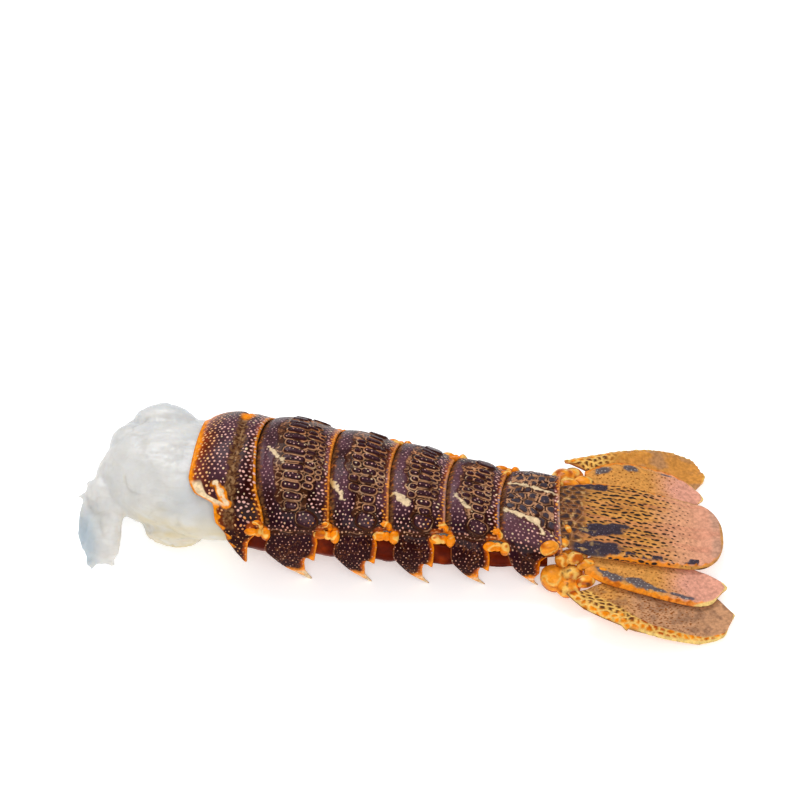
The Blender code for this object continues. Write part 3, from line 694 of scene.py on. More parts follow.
def paint_cells(ring):
    """The sculptured cells across the back: rounded dark islands with tan outlines, in a brown ground."""
    index, b = ring.index, ring.b
    half = ring.hinge_arc - 6.4
    warp_s, warp_b = 0.55 * ring.noise(0.3, 0.3, 5), 0.45 * ring.noise(0.3, 0.3, 9)
    away = block_field(ring.s + warp_s, b + warp_b, cell_blocks(index, half))
    edge_wave = 1.3 * ring.noise(0.25, 0.35, 13, 3)
    rear_limit = CELLS_TO_REAR[index] + 2.6 * ramp(4, 14, -b)
    front_limit = CELLS_FROM[index] + 2.6 * ramp(4, 9, -b) * (index > 1)
    zone = np.minimum(ring.from_front - front_limit + edge_wave, ring.to_rear - rear_limit - edge_wave)
    zone = np.minimum(zone, ring.hinge_arc - 4.4 - np.abs(b) + edge_wave)
    zone = np.maximum(zone, 0.75 - away)
    weight = ramp(-0.3, 0.5, zone)
    far = ramp(-2, 9, b)
    squiggle = np.abs(ring.noise(0.75, 0.95, 33, 3)) / 0.9 + 0.04
    broken = 0.16 * ramp(0.2, 0.45, ring.noise(0.5, 0.5, 61))
    beyond = ramp(half - 0.5, half + 2.0, np.abs(b))
    outline = np.abs(away - 0.2) + broken + beyond * np.clip(0.12 + 0.5 * edge_wave, 0.04, 0.3)
    net = np.minimum(outline, np.where(away > 0.5, squiggle, NONE_NEAR)) + 0.4 * ramp(0.3, -0.2, zone)
    tone = mix(NET_TAN, NET_ORANGE, 0.4 * far + 0.3 * ring.noise(0.5, 0.5, 4))
    tone = mix(tone, GROOVE_BROWN, 0.55 * ramp(0.1, -0.35, ring.noise(0.35, 0.5, 21)))
    tone = mix(tone, CREAM, 0.4 * ramp(0.25, 0.5, ring.noise(0.6, 0.6, 71)))
    rise = ramp(0.12, -0.35, away)
    ring.relief += 0.48 * rise - 0.14 * weight * ramp(0.2, 0.5, away)
    ring.tint(GROOVE_BROWN, 0.85 * weight)
    ring.tint(CELL_SHADOW, 0.85 * weight * ramp(0.26, 0.42, away) * ramp(0.9, 0.6, away))
    ring.tint(BLUE_VIOLET, 0.95 * rise)
    ring.tint(CELL_GREY, 0.75 * ramp(-0.3, -0.8, away))
    ring.net = np.minimum(ring.net, net)
    ring.net_tone = tone
    ring.rough -= 0.08 * rise
    ring.dot += weight * np.where(away < -0.3, 0.03 + 0.1 * far, 0.5)


def paint_groove(ring):
    """The groove between the arch and the side spike."""
    s = ring.s
    before, station = STATIONS[ring.index], STATIONS[ring.index + 1]
    length = station - before
    reach = np.abs(ring.b) - ring.hinge_arc
    groove = np.abs(reach - 0.2 - 0.35 * np.sin((s - before) * 0.9))
    along = ramp(0.0, 0.12 * length, s - ring.front) * ramp(0.0, 1.0, station - 3.5 - s)
    ring.relief -= 0.38 * bell(groove, 0, 0.55) * along
    line = groove + 0.08 + 0.5 * ramp(-0.1, 0.15, ring.noise(0.5, 0.5, 91))
    ring.net = np.where(along > 0.5, np.minimum(ring.net, line), ring.net)
    ring.tint(GROOVE_BROWN, 0.8 * bell(reach, 0.3, 0.9) * along)


SPIKE_TIP_HEIGHT = 5.2


def paint_spike(ring):
    """The side spike: a thin orange front edge, a warm toothed rear edge and a cream tip."""
    low = ramp(1.0, 1.12, ring.down)
    speckle = ring.noise(0.6, 0.6, 17, 3)
    scratches = ramp(0.12, 0.02, np.abs(ring.noise(0.8, 0.8, 23, 3)))
    ring.tint(SCRATCH_BROWN, 0.6 * scratches * ramp(-0.2, 0.2, speckle) * low)
    ring.bump += 0.2 * speckle * low
    ring.tint(DEEP_ORANGE, 0.9 * ramp(1.7, 0.4, ring.to_rear + 0.5 * speckle) * low)
    ring.tint(ORANGE, 0.8 * ramp(0.7, 0.25, ring.to_rear) * low)
    ring.tint(mix(DEEP_ORANGE, FRINGE_BROWN, 0.5), 0.85 * ramp(0.55, 0.2, ring.s - ring.front) * low)
    if ring.index == 0:
        ring.tint(ORANGE, 0.75 * ramp(1.9, 1.98, ring.down))
        return
    ring.tint(ORANGE, ramp(0.5, 1.6, ring.drop()))
    tip_level = ring.tip + SPIKE_TIP_HEIGHT
    level = ring.level + 0.8 * speckle
    tip = ramp(tip_level, tip_level - 2.4, level)
    ring.tint(ORANGE, ramp(tip_level + 1.6, tip_level - 0.4, level))
    ring.tint(CREAM, tip)
    spot = np.hypot(ring.level - 2.9, (ring.u - 0.5) * (ring.rear - ring.front)) - 0.8
    ring.tint(DOT_ORANGE, 0.75 * ramp(0.4, -0.3, spot) * tip)
    ring.dot += 1.2 * tip


def paint_pale_mark(ring):
    """The torn pale streak where the segment ahead rubs."""
    points, width = PALE_MARKS[ring.index]
    torn = 1.5 * ring.noise(0.8, 0.8, 31, 4)
    away = line_distance(ring.from_front, ring.b, points) + torn
    share = ramp(width + 0.15, width - 0.1, away)
    tone = mix(CREAM, WORN_YELLOW, 0.85 * ramp(2.0, 0.6, ring.from_front))
    ring.dot += share
    ring.net += 2 * share
    ring.relief += 0.08 * share
    ring.rough += 0.15 * share
    ring.tint(tone, share * 0.84)


def rim_relief(ring):
    """A raised rear rim with a groove ahead of it, and thinned edges on the spikes."""
    to_rear = ring.to_rear
    ridge = 0.16 * bell(to_rear, 0.5, 0.4) - 0.08 * bell(to_rear, 1.4, 0.5) - 0.35 * bell(to_rear, 0, 0.16)
    edges = -0.4 * (bell(to_rear, 0, 0.3) + bell(ring.s - ring.front, 0, 0.3))
    return ridge * ring.arch + edges * (1 - ring.arch)


def dress_segment(index, material):
    ring = Ring(index)
    add_dots(ring)
    paint_ground(ring)
    if index == 0:
        paint_first(ring)
    elif index == SEGMENT_COUNT - 1:
        paint_last(ring)
    else:
        paint_cells(ring)
        paint_groove(ring)
    paint_rims(ring)
    paint_hinges(ring)
    paint_spike(ring)
    if index in PALE_MARKS:
        paint_pale_mark(ring)
    ring.relief += rim_relief(ring) + 0.4 * ring.bump
    ring.relief += 0.07 * ramp(0.1, -0.3, ring.dot) + 0.035 * ring.noise(2.2, 2.2, 3.3)
    ring.under = np.clip(ring.under, 0, 1)
    name = f"shell_segment_{index + 1}"
    inside = inner_side(INNER_SHELL, 0.45, CREAM)
    mesh = closed_sheet(name, ring.points(), ring.inner_points(), ring.layers(), inside)
    return add_piece(name, mesh, material, [f"segment_{index + 1}"])


# The torn cream crack of the first segment, as station and distance round from the crest
FIRST_CRACK = ((6.8, -14.4), (8.7, -16.8), (10.6, -19.8))


def paint_first(ring):
    """The first segment: an orange front rim, a smooth spotted plate, a hairy groove and a rear band."""
    s, b, down = ring.s, ring.b, ring.down
    from_front = s - ring.front
    wave = ring.noise(0.25, 0.2, 6, 3)
    ring.tint(BLACK_MAROON, 0.9 * ramp(0.35, 0.7, down) * ramp(0.4, -0.2, wave))
    plate = ramp(1.12, 0.98, down)
    ring.tint(DEEP_ORANGE, 0.25 * plate * ramp(7.5, 2.0, from_front + 2.5 * wave))
    band_share = from_front / (1.0 - 0.55 * ramp(0.72, 0.85, down))
    ring.tint(RUST, 0.6 * plate * ramp(3.6, 1.8, band_share + 1.6 * wave))
    ring.tint(ORANGE, plate * ramp(2.2, 0.7, band_share + 1.2 * wave))
    ring.tint(YELLOW_ORANGE, 0.75 * plate * ramp(1.0, 0.3, from_front + 0.4 * wave))
    ring.tint(ORANGE, 0.9 * ramp(1.3, 0.8, from_front + 0.7 * np.sin(b * 2.2)) * ramp(1.6, 1.4, down))
    ring.tint_dots(DOT_PALE_ORANGE, 0.75 * ramp(8.0, 4.0, from_front + 2 * wave))
    ring.dot += 0.35 * ramp(1.3, 0.5, from_front)
    band = s - FIRST_GROOVE - 1.0 + 0.7 * ring.noise(0.2, 0.15, 2)
    strands = fractal(s * 1.3 + b * 0.5, b * 1.9 - s * 0.8, 3.0, 3)
    hair = ramp(2.1, 0.9, np.abs(band) + 1.1 * strands) * ramp(1.15, 0.9, down)
    tone = mix(FRINGE_BROWN, GROOVE_BROWN, ramp(-0.25, 0.2, strands))
    tone = mix(tone, HAIR_TAN, 0.6 * ramp(0.15, 0.4, ring.noise(1.6, 1.2, 27)))
    ring.tint(tone, 0.95 * hair)
    ring.relief += 0.16 * strands * hair - 0.6 * bell(band, 0, 1.3) * ramp(1.2, 0.9, down)
    ring.rough += 0.3 * hair
    ring.dot += 0.8 * hair
    knob = np.hypot(s - 12.0, (b - 14.6) / 1.6) + 0.6 * wave
    ring.tint(ORANGE, ramp(2.6, 1.4, knob))
    ring.relief += 0.5 * ramp(2.4, 0.6, knob)
    torn = 0.7 * ring.noise(0.7, 0.7, 31, 3)
    crack = np.where(b < 0, line_distance(s, b, FIRST_CRACK), NONE_NEAR) + torn
    ring.tint(ORANGE, ramp(1.5, 1.0, crack) * ramp(-13.5, -16.5, b))
    crescent = ramp(-13.6, -15.2, b) * ramp(-21.0, -19.6, b)
    crescent = crescent * ramp(3.8, 3.3, from_front + 0.5 * wave)
    ring.tint(CREAM, crescent)
    ring.tint(ORANGE, crescent * ramp(0.9, 0.5, from_front))
    ring.dot += crescent
    white = ramp(0.9, 0.5, crack + 0.7 * ramp(0.1, 0.4, ring.noise(0.6, 0.6, 37)))
    ring.tint(CREAM, 0.95 * white)
    ring.dot += ramp(1.6, 1.0, crack)


# The last segment's two cream stripes, as distance behind the front edge and round from the crest
LAST_STRIPES = (
    ((1.5, -6.2), (2.9, -6.6), (6.3, -6.9), (10.1, -7.4), (12.0, -10.4)),
    ((1.8, 8.1), (6.0, 6.6), (11.7, 4.4), (16.4, 3.0)),
)


def paint_last(ring):
    """The last segment: big dark polygons between two cream stripes, and smooth spotted sides with some
    painted sheen.
    """
    s, b, down, from_front = ring.s, ring.b, ring.down, ring.from_front
    seeds, _ = scatter(78, (s.min(), s.max()), (-16, 16), 3.3, 0.22)
    warp_s, warp_b = 0.5 * ring.noise(0.3, 0.3, 5), 0.5 * ring.noise(0.3, 0.3, 9)
    border = cell_field(s + warp_s, b + warp_b, seeds, 1.2)
    edge = np.interp(from_front, (0, 3, 10, 15), (6.5, 6.8, 7.8, 11.0))
    zone = np.where(b < 0, edge + b, 13.0 - b) + 0.8 * ring.noise(0.4, 0.4, 15)
    zone = np.minimum(zone, np.minimum(from_front, ring.to_rear) - 1.6)
    weight = ramp(-0.2, 0.5, zone)
    rise = ramp(0.3, 0.8, border) * weight
    ring.tint(GROOVE_BROWN, 0.9 * weight)
    ring.tint(POLYGON_SHADOW, 0.7 * weight * ramp(0.45, 0.15, border))
    ring.tint(POLYGON_GREY, 0.95 * rise)
    broken = 0.4 * ramp(0.2, 0.4, ring.noise(0.5, 0.5, 61))
    squiggle = np.where(border < 0.7, np.abs(ring.noise(0.5, 0.5, 33, 3)) / 0.75, NONE_NEAR)
    ring.net = np.where(zone > 0, np.minimum(np.abs(border - 0.34) + broken, squiggle), NONE_NEAR)
    ring.net_tone = mix(NET_TAN, GROOVE_BROWN, 0.7 * ramp(0.0, -0.3, ring.noise(0.5, 0.5, 6)))
    ring.relief += rise * 0.42 - 0.08 * weight
    ring.dot += np.where(weight > 0.5, np.where(border > 0.8, 0.2, 0.6), 0)
    # Painted sheen: grey violet on one side of the arch, outside the polygons, standing for reflected light
    ring.tint(PAINTED_SHEEN_VIOLET, 0.6 * ramp(-5.5, -8.0, b) * ramp(0.98, 0.8, down) * (1 - weight))
    ridges = ramp(0.2, 0.5, fractal((s + b) * 0.5, (s - b) * 0.18, 12.0, 2)) * ramp(0.62, 0.75, down)
    ring.tint(GROOVE_BROWN, 0.7 * ridges)
    ring.relief += 0.2 * ridges * ramp(0.55, 0.75, down) * (1 - ring.arch * 0.2)
    low_stripe, high_stripe = (line_distance(from_front, b, stripe) for stripe in LAST_STRIPES)
    line = np.minimum(low_stripe, high_stripe + 0.25) + 0.9 * ring.noise(0.7, 0.7, 41, 4)
    cream = ramp(0.85, 0.55, line)
    ring.dot += cream
    ring.net += cream
    ring.tint(GROOVE_BROWN, 0.8 * ramp(1.8, 0.9, line))
    ring.tint(CREAM, 0.9 * cream)


# Meat and belly

# The meat outside the shell, by station: sideways shift, half width, underside and top
MEAT_RINGS = np.array([
    (-31.0, -4.0, 4.0, 11.0, 18.5),
    (-28.5, -2.0, 9.0, 8.0, 21.5),
    (-25.0, 0.5, 13.5, 6.2, 24.5),
    (-20.5, 1.8, 16.5, 5.2, 27.0),
    (-15.0, 1.8, 18.8, 4.8, 28.6),
    (-9.0, 1.2, 20.2, 4.8, 28.9),
    (-3.5, 0.4, 21.2, 4.8, 28.2),
    (1.0, 0.0, 21.6, 4.8, 28.1),
    (7.0, 0.0, 21.3, 4.8, 28.8),
])
MEAT_TO_SHELL = 3.0
MEAT_TO_SIDES = 4.0
MEAT_UNDERSIDE = np.array([4.8, 4.8, 4.8, 4.8, 5.2, 6.2, 7.0])
MEAT_INSIDE_FROM = 14
MEAT_END = 99
BELLY_GAP = 0.7
BELLY_SPREAD = math.radians(112)
BELLY_ROWS = 150
BELLY_COLUMNS = 190
BELLY_UNDER_COLUMNS = [189, 188, 150, 110, 70, 35, 1, 0]


def meat_ring(s):
    outside = [np.interp(s, MEAT_RINGS[:, 0], MEAT_RINGS[:, i]) for i in range(1, 5)]
    inside = (0, at_station(HALF_WIDTH, s) - MEAT_TO_SIDES, at_station(MEAT_UNDERSIDE, s),
              at_station(CREST, s) - MEAT_TO_SHELL)
    blend = ramp(MEAT_RINGS[-1, 0], MEAT_INSIDE_FROM, s)
    shift, half, under, top = (out + (into - out) * blend for out, into in zip(outside, inside))
    widest = at_station(WIDEST_LEVEL, s)
    return shift, half, under, top, np.minimum(np.maximum(widest, (under + top) / 2 - 3), top - 1)


def meat_point(s, angle, grow=0.0):
    shift, half, under, top, widest = meat_ring(s)
    height = np.where(np.cos(angle) > 0, top - widest, widest - under) + grow
    return place(s, shift + (half + grow) * np.sin(angle), widest + height * np.cos(angle))


def dress_belly(material):
    """The ribbed skin under the meat, up to the hinges on both sides."""
    stations = np.linspace(13, 101, BELLY_COLUMNS)
    s, row = np.broadcast_arrays(stations[None, :], np.linspace(-1, 1, BELLY_ROWS)[:, None])
    middle = np.cos(row * math.pi / 2)
    rib = 0.8 * bell(np.abs(STATIONS[1:, None, None] - s).min(0), 0, 2.5) * middle
    wrinkle = 0.25 * fractal(s * 0.7, row * 9, 3.0, 3)
    angle = math.pi - row * BELLY_SPREAD
    grow = BELLY_GAP + 1.2 + rib + wrinkle * middle - 0.7 * ramp(0.7, 0.85, np.abs(row))
    under = mix(BELLY_DARK, BELLY_RED, ramp(-0.3, 0.5, fractal(s * 0.25, row * 5, 8.0, 3)))
    under = mix(under, BELLY_PALE, 0.55 * ramp(0.6, 0.2, np.abs(row)))
    pick = BELLY_UNDER_COLUMNS
    top, bottom = meat_point(s, angle, grow), meat_point(s[:, pick], angle[:, pick], grow[:, pick] - 0.5)
    layers = {"under": under, "rough": np.full(s.shape, 0.3)}
    mesh = closed_sheet("belly_skin", top, bottom, layers, {"under": BELLY_INSIDE, "rough": 0.4})
    return add_piece("belly_skin", mesh, material, ["belly"])


# Lobes of the meat: station, side and level, radii, and turn in plan; the small ones fray its edges
MEAT_LOBES = (
    ((-13.5, 14.0, 22.5), (9.5, 6.0, 5.6), 0),
    ((-27.5, -8.5, 15.0), (5.2, 5.5, 4.6), 0),
    ((-9.0, -10.5, 15.5), (11.0, 8.0, 9.5), 0),
    ((-21.5, 6.0, 20.0), (7.0, 8.0, 5.8), 0),
    ((-6.0, -16.0, 9.0), (9.0, 5.0, 4.6), -6),
    ((-13.0, 17.6, 24.2), (4.4, 1.6, 2.6), -22),
    ((-22.0, 12.8, 22.2), (3.4, 1.5, 1.9), 24),
    ((-27.8, 2.2, 18.4), (1.7, 3.4, 1.7), 20),
    ((-31.4, -6.4, 15.2), (2.2, 1.5, 1.5), -30),
    ((-32.6, -9.6, 13.6), (2.4, 1.1, 1.0), 20),
    ((-32.0, -12.0, 12.0), (2.0, 1.0, 1.0), -12),
    ((-29.4, -24.6, 1.9), (1.0, 2.0, 0.8), 15),
    ((-27.9, -25.6, 1.5), (0.9, 1.8, 0.7), -10),
    ((-31.6, -20.4, 4.4), (0.9, 1.9, 0.9), 12),
    ((-22.6, -24.4, 1.6), (1.2, 1.1, 0.7), 0),
)
# The hanging tongues: four points on each one's middle line, its half width and its half thickness
TONGUES = (
    (((-24.5, -6.0, 16.5), (-25.2, -14.0, 13.0), (-25.8, -20.5, 7.0), (-26.0, -24.6, 1.0)), 5.4, 2.6),
    (((-29.0, -8.0, 16.0), (-31.0, -13.5, 12.5), (-31.3, -18.0, 8.0), (-30.6, -20.5, 3.6)), 2.5, 1.7),
)
MEAT_VOXEL = 0.5
MEAT_BODY_SHARE = 0.42
LOWEST_MEAT = 0.3


def lobe_mesh(bm, point_at, around=40, along=28):
    """Adds a sphere whose points are moved by a function."""
    fresh = bmesh.ops.create_uvsphere(bm, u_segments=around, v_segments=along, radius=1)["verts"]
    sphere = np.array([vertex.co for vertex in fresh])
    for vertex, point in zip(fresh, point_at(sphere)):
        vertex.co = point


def body_points(sphere):
    """The body of the meat: the sphere's poles go to its two ends."""
    share = np.arccos(np.clip(-sphere[:, 2], -1, 1)) / math.pi
    front = MEAT_RINGS[0, 0] * (1 - share / MEAT_BODY_SHARE)
    s = np.where(share < MEAT_BODY_SHARE, front, MEAT_END * (share - MEAT_BODY_SHARE) / (1 - MEAT_BODY_SHARE))
    points = meat_point(s, np.arctan2(-sphere[:, 1], sphere[:, 0]))
    shift, _, _, _, widest = meat_ring(s)
    pole = np.hypot(sphere[:, 0], sphere[:, 1]) < 1e-6
    ends = place(s + np.copysign(1.0, share - 0.5), shift, widest)
    return np.where(pole[:, None], ends, points)


def lobe_points(centre, radii, turn, sphere):
    """A lobe of the meat: a squashed sphere, turned in plan."""
    s, side, level = centre
    angle = math.radians(turn)
    x, y, z = (sphere * radii).T
    return place(s + x * math.cos(angle) - y * math.sin(angle),
                 side + x * math.sin(angle) + y * math.cos(angle), level + z)


def tongue_points(path, half_width, half_thickness, sphere):
    """A flat tongue along a smooth line through four points."""
    a, b, c, d = (np.array(point, float) for point in path)
    first = (-5 * a + 18 * b - 9 * c + 2 * d) / 6
    second = (2 * a - 9 * b + 18 * c - 5 * d) / 6
    t = ((sphere[:, 2] + 1) / 2)[:, None]
    centre = a * (1 - t) ** 3 + 3 * first * t * (1 - t) ** 2 + 3 * second * t * t * (1 - t) + d * t ** 3
    slope = 3 * (1 - t) ** 2 * (first - a) + 6 * t * (1 - t) * (second - first) + 3 * t * t * (d - second)
    slope /= np.linalg.norm(slope, axis=1, keepdims=True)
    thick = np.cross(slope, (1, 0, 0))
    thick /= np.linalg.norm(thick, axis=1, keepdims=True)
    end = np.sqrt(np.clip(1 - sphere[:, 2] ** 4, 0, 1))
    across = np.arctan2(sphere[:, 1], sphere[:, 0])
    point = centre + thick * (half_thickness * end * np.sin(across))[:, None]
    point[:, 0] += half_width * end * np.cos(across)
    return place(point[:, 0], point[:, 1], np.maximum(point[:, 2], LOWEST_MEAT))


def melted_lobes():
    """The meat's body, lobes and tongues, melted into one smooth mesh."""
    bm = bmesh.new()
    lobe_mesh(bm, body_points, 72, 80)
    for centre, radii, turn in MEAT_LOBES:
        lobe_mesh(bm, lambda sphere: lobe_points(centre, radii, turn, sphere))
    for path, half_width, half_thickness in TONGUES:
        lobe_mesh(bm, lambda sphere: tongue_points(path, half_width, half_thickness, sphere))
    mesh = bpy.data.meshes.new("meat lobes")
    bm.to_mesh(mesh)
    bm.free()
    obj = bpy.data.objects.new("meat lobes", mesh)
    bpy.context.scene.collection.objects.link(obj)
    remesh = obj.modifiers.new("melt", "REMESH")
    remesh.mode = "VOXEL"
    remesh.voxel_size = MEAT_VOXEL
    smooth = obj.modifiers.new("smooth", "SMOOTH")
    smooth.factor = 0.6
    smooth.iterations = 7
    graph = bpy.context.evaluated_depsgraph_get()
    melted = bpy.data.meshes.new_from_object(obj.evaluated_get(graph))
    bpy.data.objects.remove(obj, do_unlink=True)
    return melted


def vertex_values(mesh, key):
    values = np.empty(len(mesh.vertices) * 3)
    mesh.vertices.foreach_get(key, values)
    return values.reshape(-1, 3)


def dress_meat(material):
    """Raw meat: rounded lobes melted into one, then pulled into fibres, folds and torn edges."""
    mesh = melted_lobes()
    points, normals = vertex_values(mesh, "co"), vertex_values(mesh, "normal")
    x, y, z = points.T
    outside = ramp(-55, -64, x)
    fold = fractal(x * 0.07 + 0.12 * z, y * 0.12, z * 0.10, 3)
    crease = 1 - np.abs(fractal(x * 0.10 + y * 0.05, y * 0.16 - z * 0.08, z * 0.12 + 4, 2)) * 7
    crease = crease * ramp(-0.25, 0.2, fractal(x * 0.14, y * 0.14, z * 0.14 + 11, 2))
    crease = np.clip(crease, 0, 1) ** 2
    fibre = fractal(x * 0.16 + y * 0.08, y * 0.7, z * 0.7, 3)
    grain = fractal(x * 1.1, y * 1.1, z * 1.1, 2)
    low_side = ramp(16, 9, z) * ramp(-84, -76, x)
    strands = fractal(x * 0.75, y * 0.12, z * 0.12 + 7, 3) * ramp(-84, -88, x)
    lift = 0.8 * fold - 0.42 * crease + (0.16 + 0.36 * low_side) * fibre + 0.14 * grain
    lift = (lift + 0.45 * strands) * outside
    lift = np.where(z < 3, np.minimum(lift, 0.0), lift)
    moved = points + normals * lift[:, None]
    moved[:, 2] = np.maximum(moved[:, 2], LOWEST_MEAT)
    mesh.vertices.foreach_set("co", (moved * MM).ravel())
    warm = ramp(-86, -68, x) * ramp(23, 9, z) * ramp(4, -10, y)
    patches = fractal(x * 0.08, y * 0.08, z * 0.08 + 5, 3)
    lines = ramp(0.07, 0.0, np.abs(fractal(x * 0.10 + 0.05 * y, y * 0.34, z * 0.34 + 2, 2)))
    thin = np.maximum(ramp(-86, -92, x) * ramp(16, 9, z), 0.35 * ramp(18, 22, y) * ramp(23, 27, z))
    under = mix(MEAT_WHITE, MEAT_COOL, 0.6 * ramp(-0.1, 0.5, patches))
    # Painted shade: the creases are darkened to deepen the folds
    under = mix(under, MEAT_CREASE_SHADE, 0.3 * crease * outside)
    under = mix(under, MEAT_WARM, 0.9 * warm * (0.7 + 0.9 * fibre))
    under = mix(under, MEAT_LINE, (0.12 + 0.3 * warm) * lines * outside)
    under = mix(under, MEAT_THIN, 0.75 * thin)
    add_layer(mesh, "under", np.clip(under, 0, 1))
    mesh.name = "raw_meat"
    mesh.shade_smooth()
    return add_piece("raw_meat", mesh, material, ["meat"])


# Tail fan

FAN_STATION = 107
FAN_BASE_LEVEL = 14.0
FAN_SLOPE = math.radians(14.3)
BLADE_WALL = 1.2
INNER_BLADE_DROP = BLADE_WALL + GAP
OUTER_BLADE_DROP = 2 * (BLADE_WALL + GAP)
TELSON_FROM = -4.5
TELSON_LENGTH = 46
TELSON_HALF_WIDTH = [(-4.5, 11.8), (0, 13.2), (8, 15.3), (18, 15.7), (28, 15.1), (36, 14.2), (46, 12.6)]
TELSON_CORNER_FROM = 34
TELSON_BASE_ARCH = 1.2
LOWEST_BLADE = 0.25
# The outer and inner edge of each side blade, as distances along the fan and out from its middle line
NEAR_INNER_EDGES = (
    ((4.6, 20.3), (12, 24.5), (20, 26.0), (28, 27.3), (36, 27.4), (41.5, 26.0), (44.5, 21.5)),
    ((4.6, 14.6), (12, 11.5), (20, 10.5), (28, 10.5), (36, 12.0), (41.5, 14.5), (45.0, 17.5)),
)
NEAR_OUTER_EDGES = (
    ((-0.5, 28.0), (2.5, 31.6), (8, 35.5), (15, 38.6), (28, 41.2), (38, 40.3), (44.5, 37.6), (46.6, 32.0)),
    ((0.5, 27.2), (3.5, 26.4), (7, 23.8), (13, 20.5), (24, 18.5), (34, 18.5), (42, 20.5), (46.6, 27.0)),
)
FAR_INNER_EDGES = (
    ((6.6, 22.5), (12, 26.0), (20, 28.0), (27, 27.6), (34, 26.4), (38.5, 23.5), (40.5, 19.5)),
    ((6.6, 15.6), (12, 12.0), (20, 10.5), (28, 10.5), (34, 11.5), (38.5, 13.5), (41, 16.0)),
)
FAR_OUTER_EDGES = (
    ((1.0, 27.8), (4, 29.2), (10, 31.4), (18, 34.4), (27, 37.4), (35, 38.0), (40.5, 35.8), (42.5, 30.5)),
    ((2.0, 27.2), (5, 26.4), (8.5, 23.5), (14, 20.5), (24, 18.5), (33, 18.5), (39, 20.5), (42.5, 25.5)),
)
BLADE_LENGTH = 45
BLADE_TIP_BULGE = 1.6
TOOTHED_BLADE = "outer_fan_blade_near"
FAN_ROUGHNESS = 0.36
# The columns of a blade's top grid that its coarse underside repeats, from the tip back to the base
TELSON_ROWS = 150
TELSON_COLUMNS = 210
TELSON_UNDER_COLUMNS = [209, 208, 170, 120, 60, 20, 1, 0]
TELSON_UNDER_DEPTHS = np.array([0.5, 0.8, 1.2, 1.2, 1.2, 1.2, 1.2, 1.0])
BLADE_ROWS = 84
BLADE_COLUMNS = 150
BLADE_UNDER_COLUMNS = [149, 148, 120, 80, 40, 12, 1, 0]


def fan_point(along, side, above):
    """Points of the fan: along and across its plane, and above it."""
    base = place(FAN_STATION, 0, FAN_BASE_LEVEL)
    forward = np.array([math.cos(FAN_YAW) * math.cos(FAN_SLOPE), math.sin(FAN_YAW) * math.cos(FAN_SLOPE),
                        -math.sin(FAN_SLOPE)])
    across = np.array([-math.sin(FAN_YAW), math.cos(FAN_YAW), 0])
    up = np.cross(forward, across)
    fade = 1 - ramp(0, 18, along)
    arch = TELSON_BASE_ARCH * fade * (np.minimum(np.abs(side), 16) / 13.2) ** 2
    along, side, lift = np.broadcast_arrays(along, side, above - arch)
    return base + forward * along[..., None] + across * side[..., None] + up * lift[..., None]


def blade_point(along, side, drop, lift=0.0):
    """Points on a blade's upper face, kept high enough that no layer sinks into the table or the next."""
    points = fan_point(along, side, -drop)
    points[..., 2] = np.maximum(points[..., 2], LOWEST_BLADE + BLADE_WALL + OUTER_BLADE_DROP - drop)
    up = np.array([math.sin(FAN_SLOPE), 0, math.cos(FAN_SLOPE)])
    return points + up * np.asarray(lift)[..., None]


def edge_points(points, share):
    """Points a share of the way along the smooth edge through some points, by its length."""
    points = np.array(points, float)
    lengths = np.concatenate([[0], np.cumsum(np.linalg.norm(np.diff(points, axis=0), axis=1))])
    slopes = np.gradient(points, lengths, axis=0)
    at = share * lengths[-1]
    i = np.clip(np.searchsorted(lengths, at, side="right") - 1, 0, len(points) - 2)
    step = (lengths[i + 1] - lengths[i])[:, None]
    t = (at[:, None] - lengths[i][:, None]) / step
    return hermite(t, points[i], points[i + 1], step * slopes[i], step * slopes[i + 1])


class Blade(Skin):
    """A fan blade's grid, with each point's distance from the blade's outer edge and from its end."""

    def __init__(self, along, side, to_edge, to_end):
        super().__init__(along, side, FAN_ROUGHNESS)
        self.to_edge, self.to_end = to_edge, to_end

    def spots(self, seed, s_range, b_range, spacing, largest, fade_from):
        """Brown spots that shrink away towards the blade's end."""
        seeds, rng = scatter(seed, s_range, b_range, spacing, 0.3)
        count = len(seeds)
        size = rng.uniform(0.16, largest, count) * ramp(fade_from, 30, seeds[:, 0])
        long, short = size * 1.4 + 0.01, size + 0.01
        self.dot, _ = dot_field(self.s, self.b, seeds, long, short, rng.uniform(-1, 1, count))
        self.dot_tone = np.broadcast_to(SPOT_BROWN, self.s.shape + (3,))

    def speck_ink(self, ink, seeds, long, short, tone):
        """Fine pale specks inside the ink patches, in place of the blade's own spots."""
        unturned = np.zeros(len(seeds))
        specks, _ = dot_field(self.s, self.b, seeds, unturned + long, unturned + short, unturned)
        self.dot = np.where(ink > 0.5, specks, self.dot)
        self.tint_dots(tone, (ink > 0.5).astype(float))


def paint_telson_scales(blade, wave, ink):
    """Dark scales with cream flecks at the telson's base, raised a little."""
    along, side = blade.s, blade.b
    seeds, _ = scatter(93, (TELSON_FROM - 2, 12), (-16, 16), 2.6, 0.3)
    border = cell_field(along + wave, side + wave, seeds, 1.6)
    scaly = ramp(6.0, 2.0, along + 3 * wave) * (1 - ink)
    blade.tint(GROOVE_BROWN, 0.7 * scaly)
    blade.tint(SCALE_GREY, 0.9 * scaly * ramp(0.3, 0.6, border))
    flecks = ramp(0.25, 0.45, blade.noise(0.8, 0.9, 24)) * ramp(10, 2, along)
    blade.tint(SCALE_FLECK, 0.7 * flecks * ramp(0.5, 0.3, border))
    blade.net = np.where(scaly > 0.4, border + 0.08, NONE_NEAR)
    blade.dot += scaly
    blade.relief += 0.3 * ramp(0.1, 0.5, border) * scaly


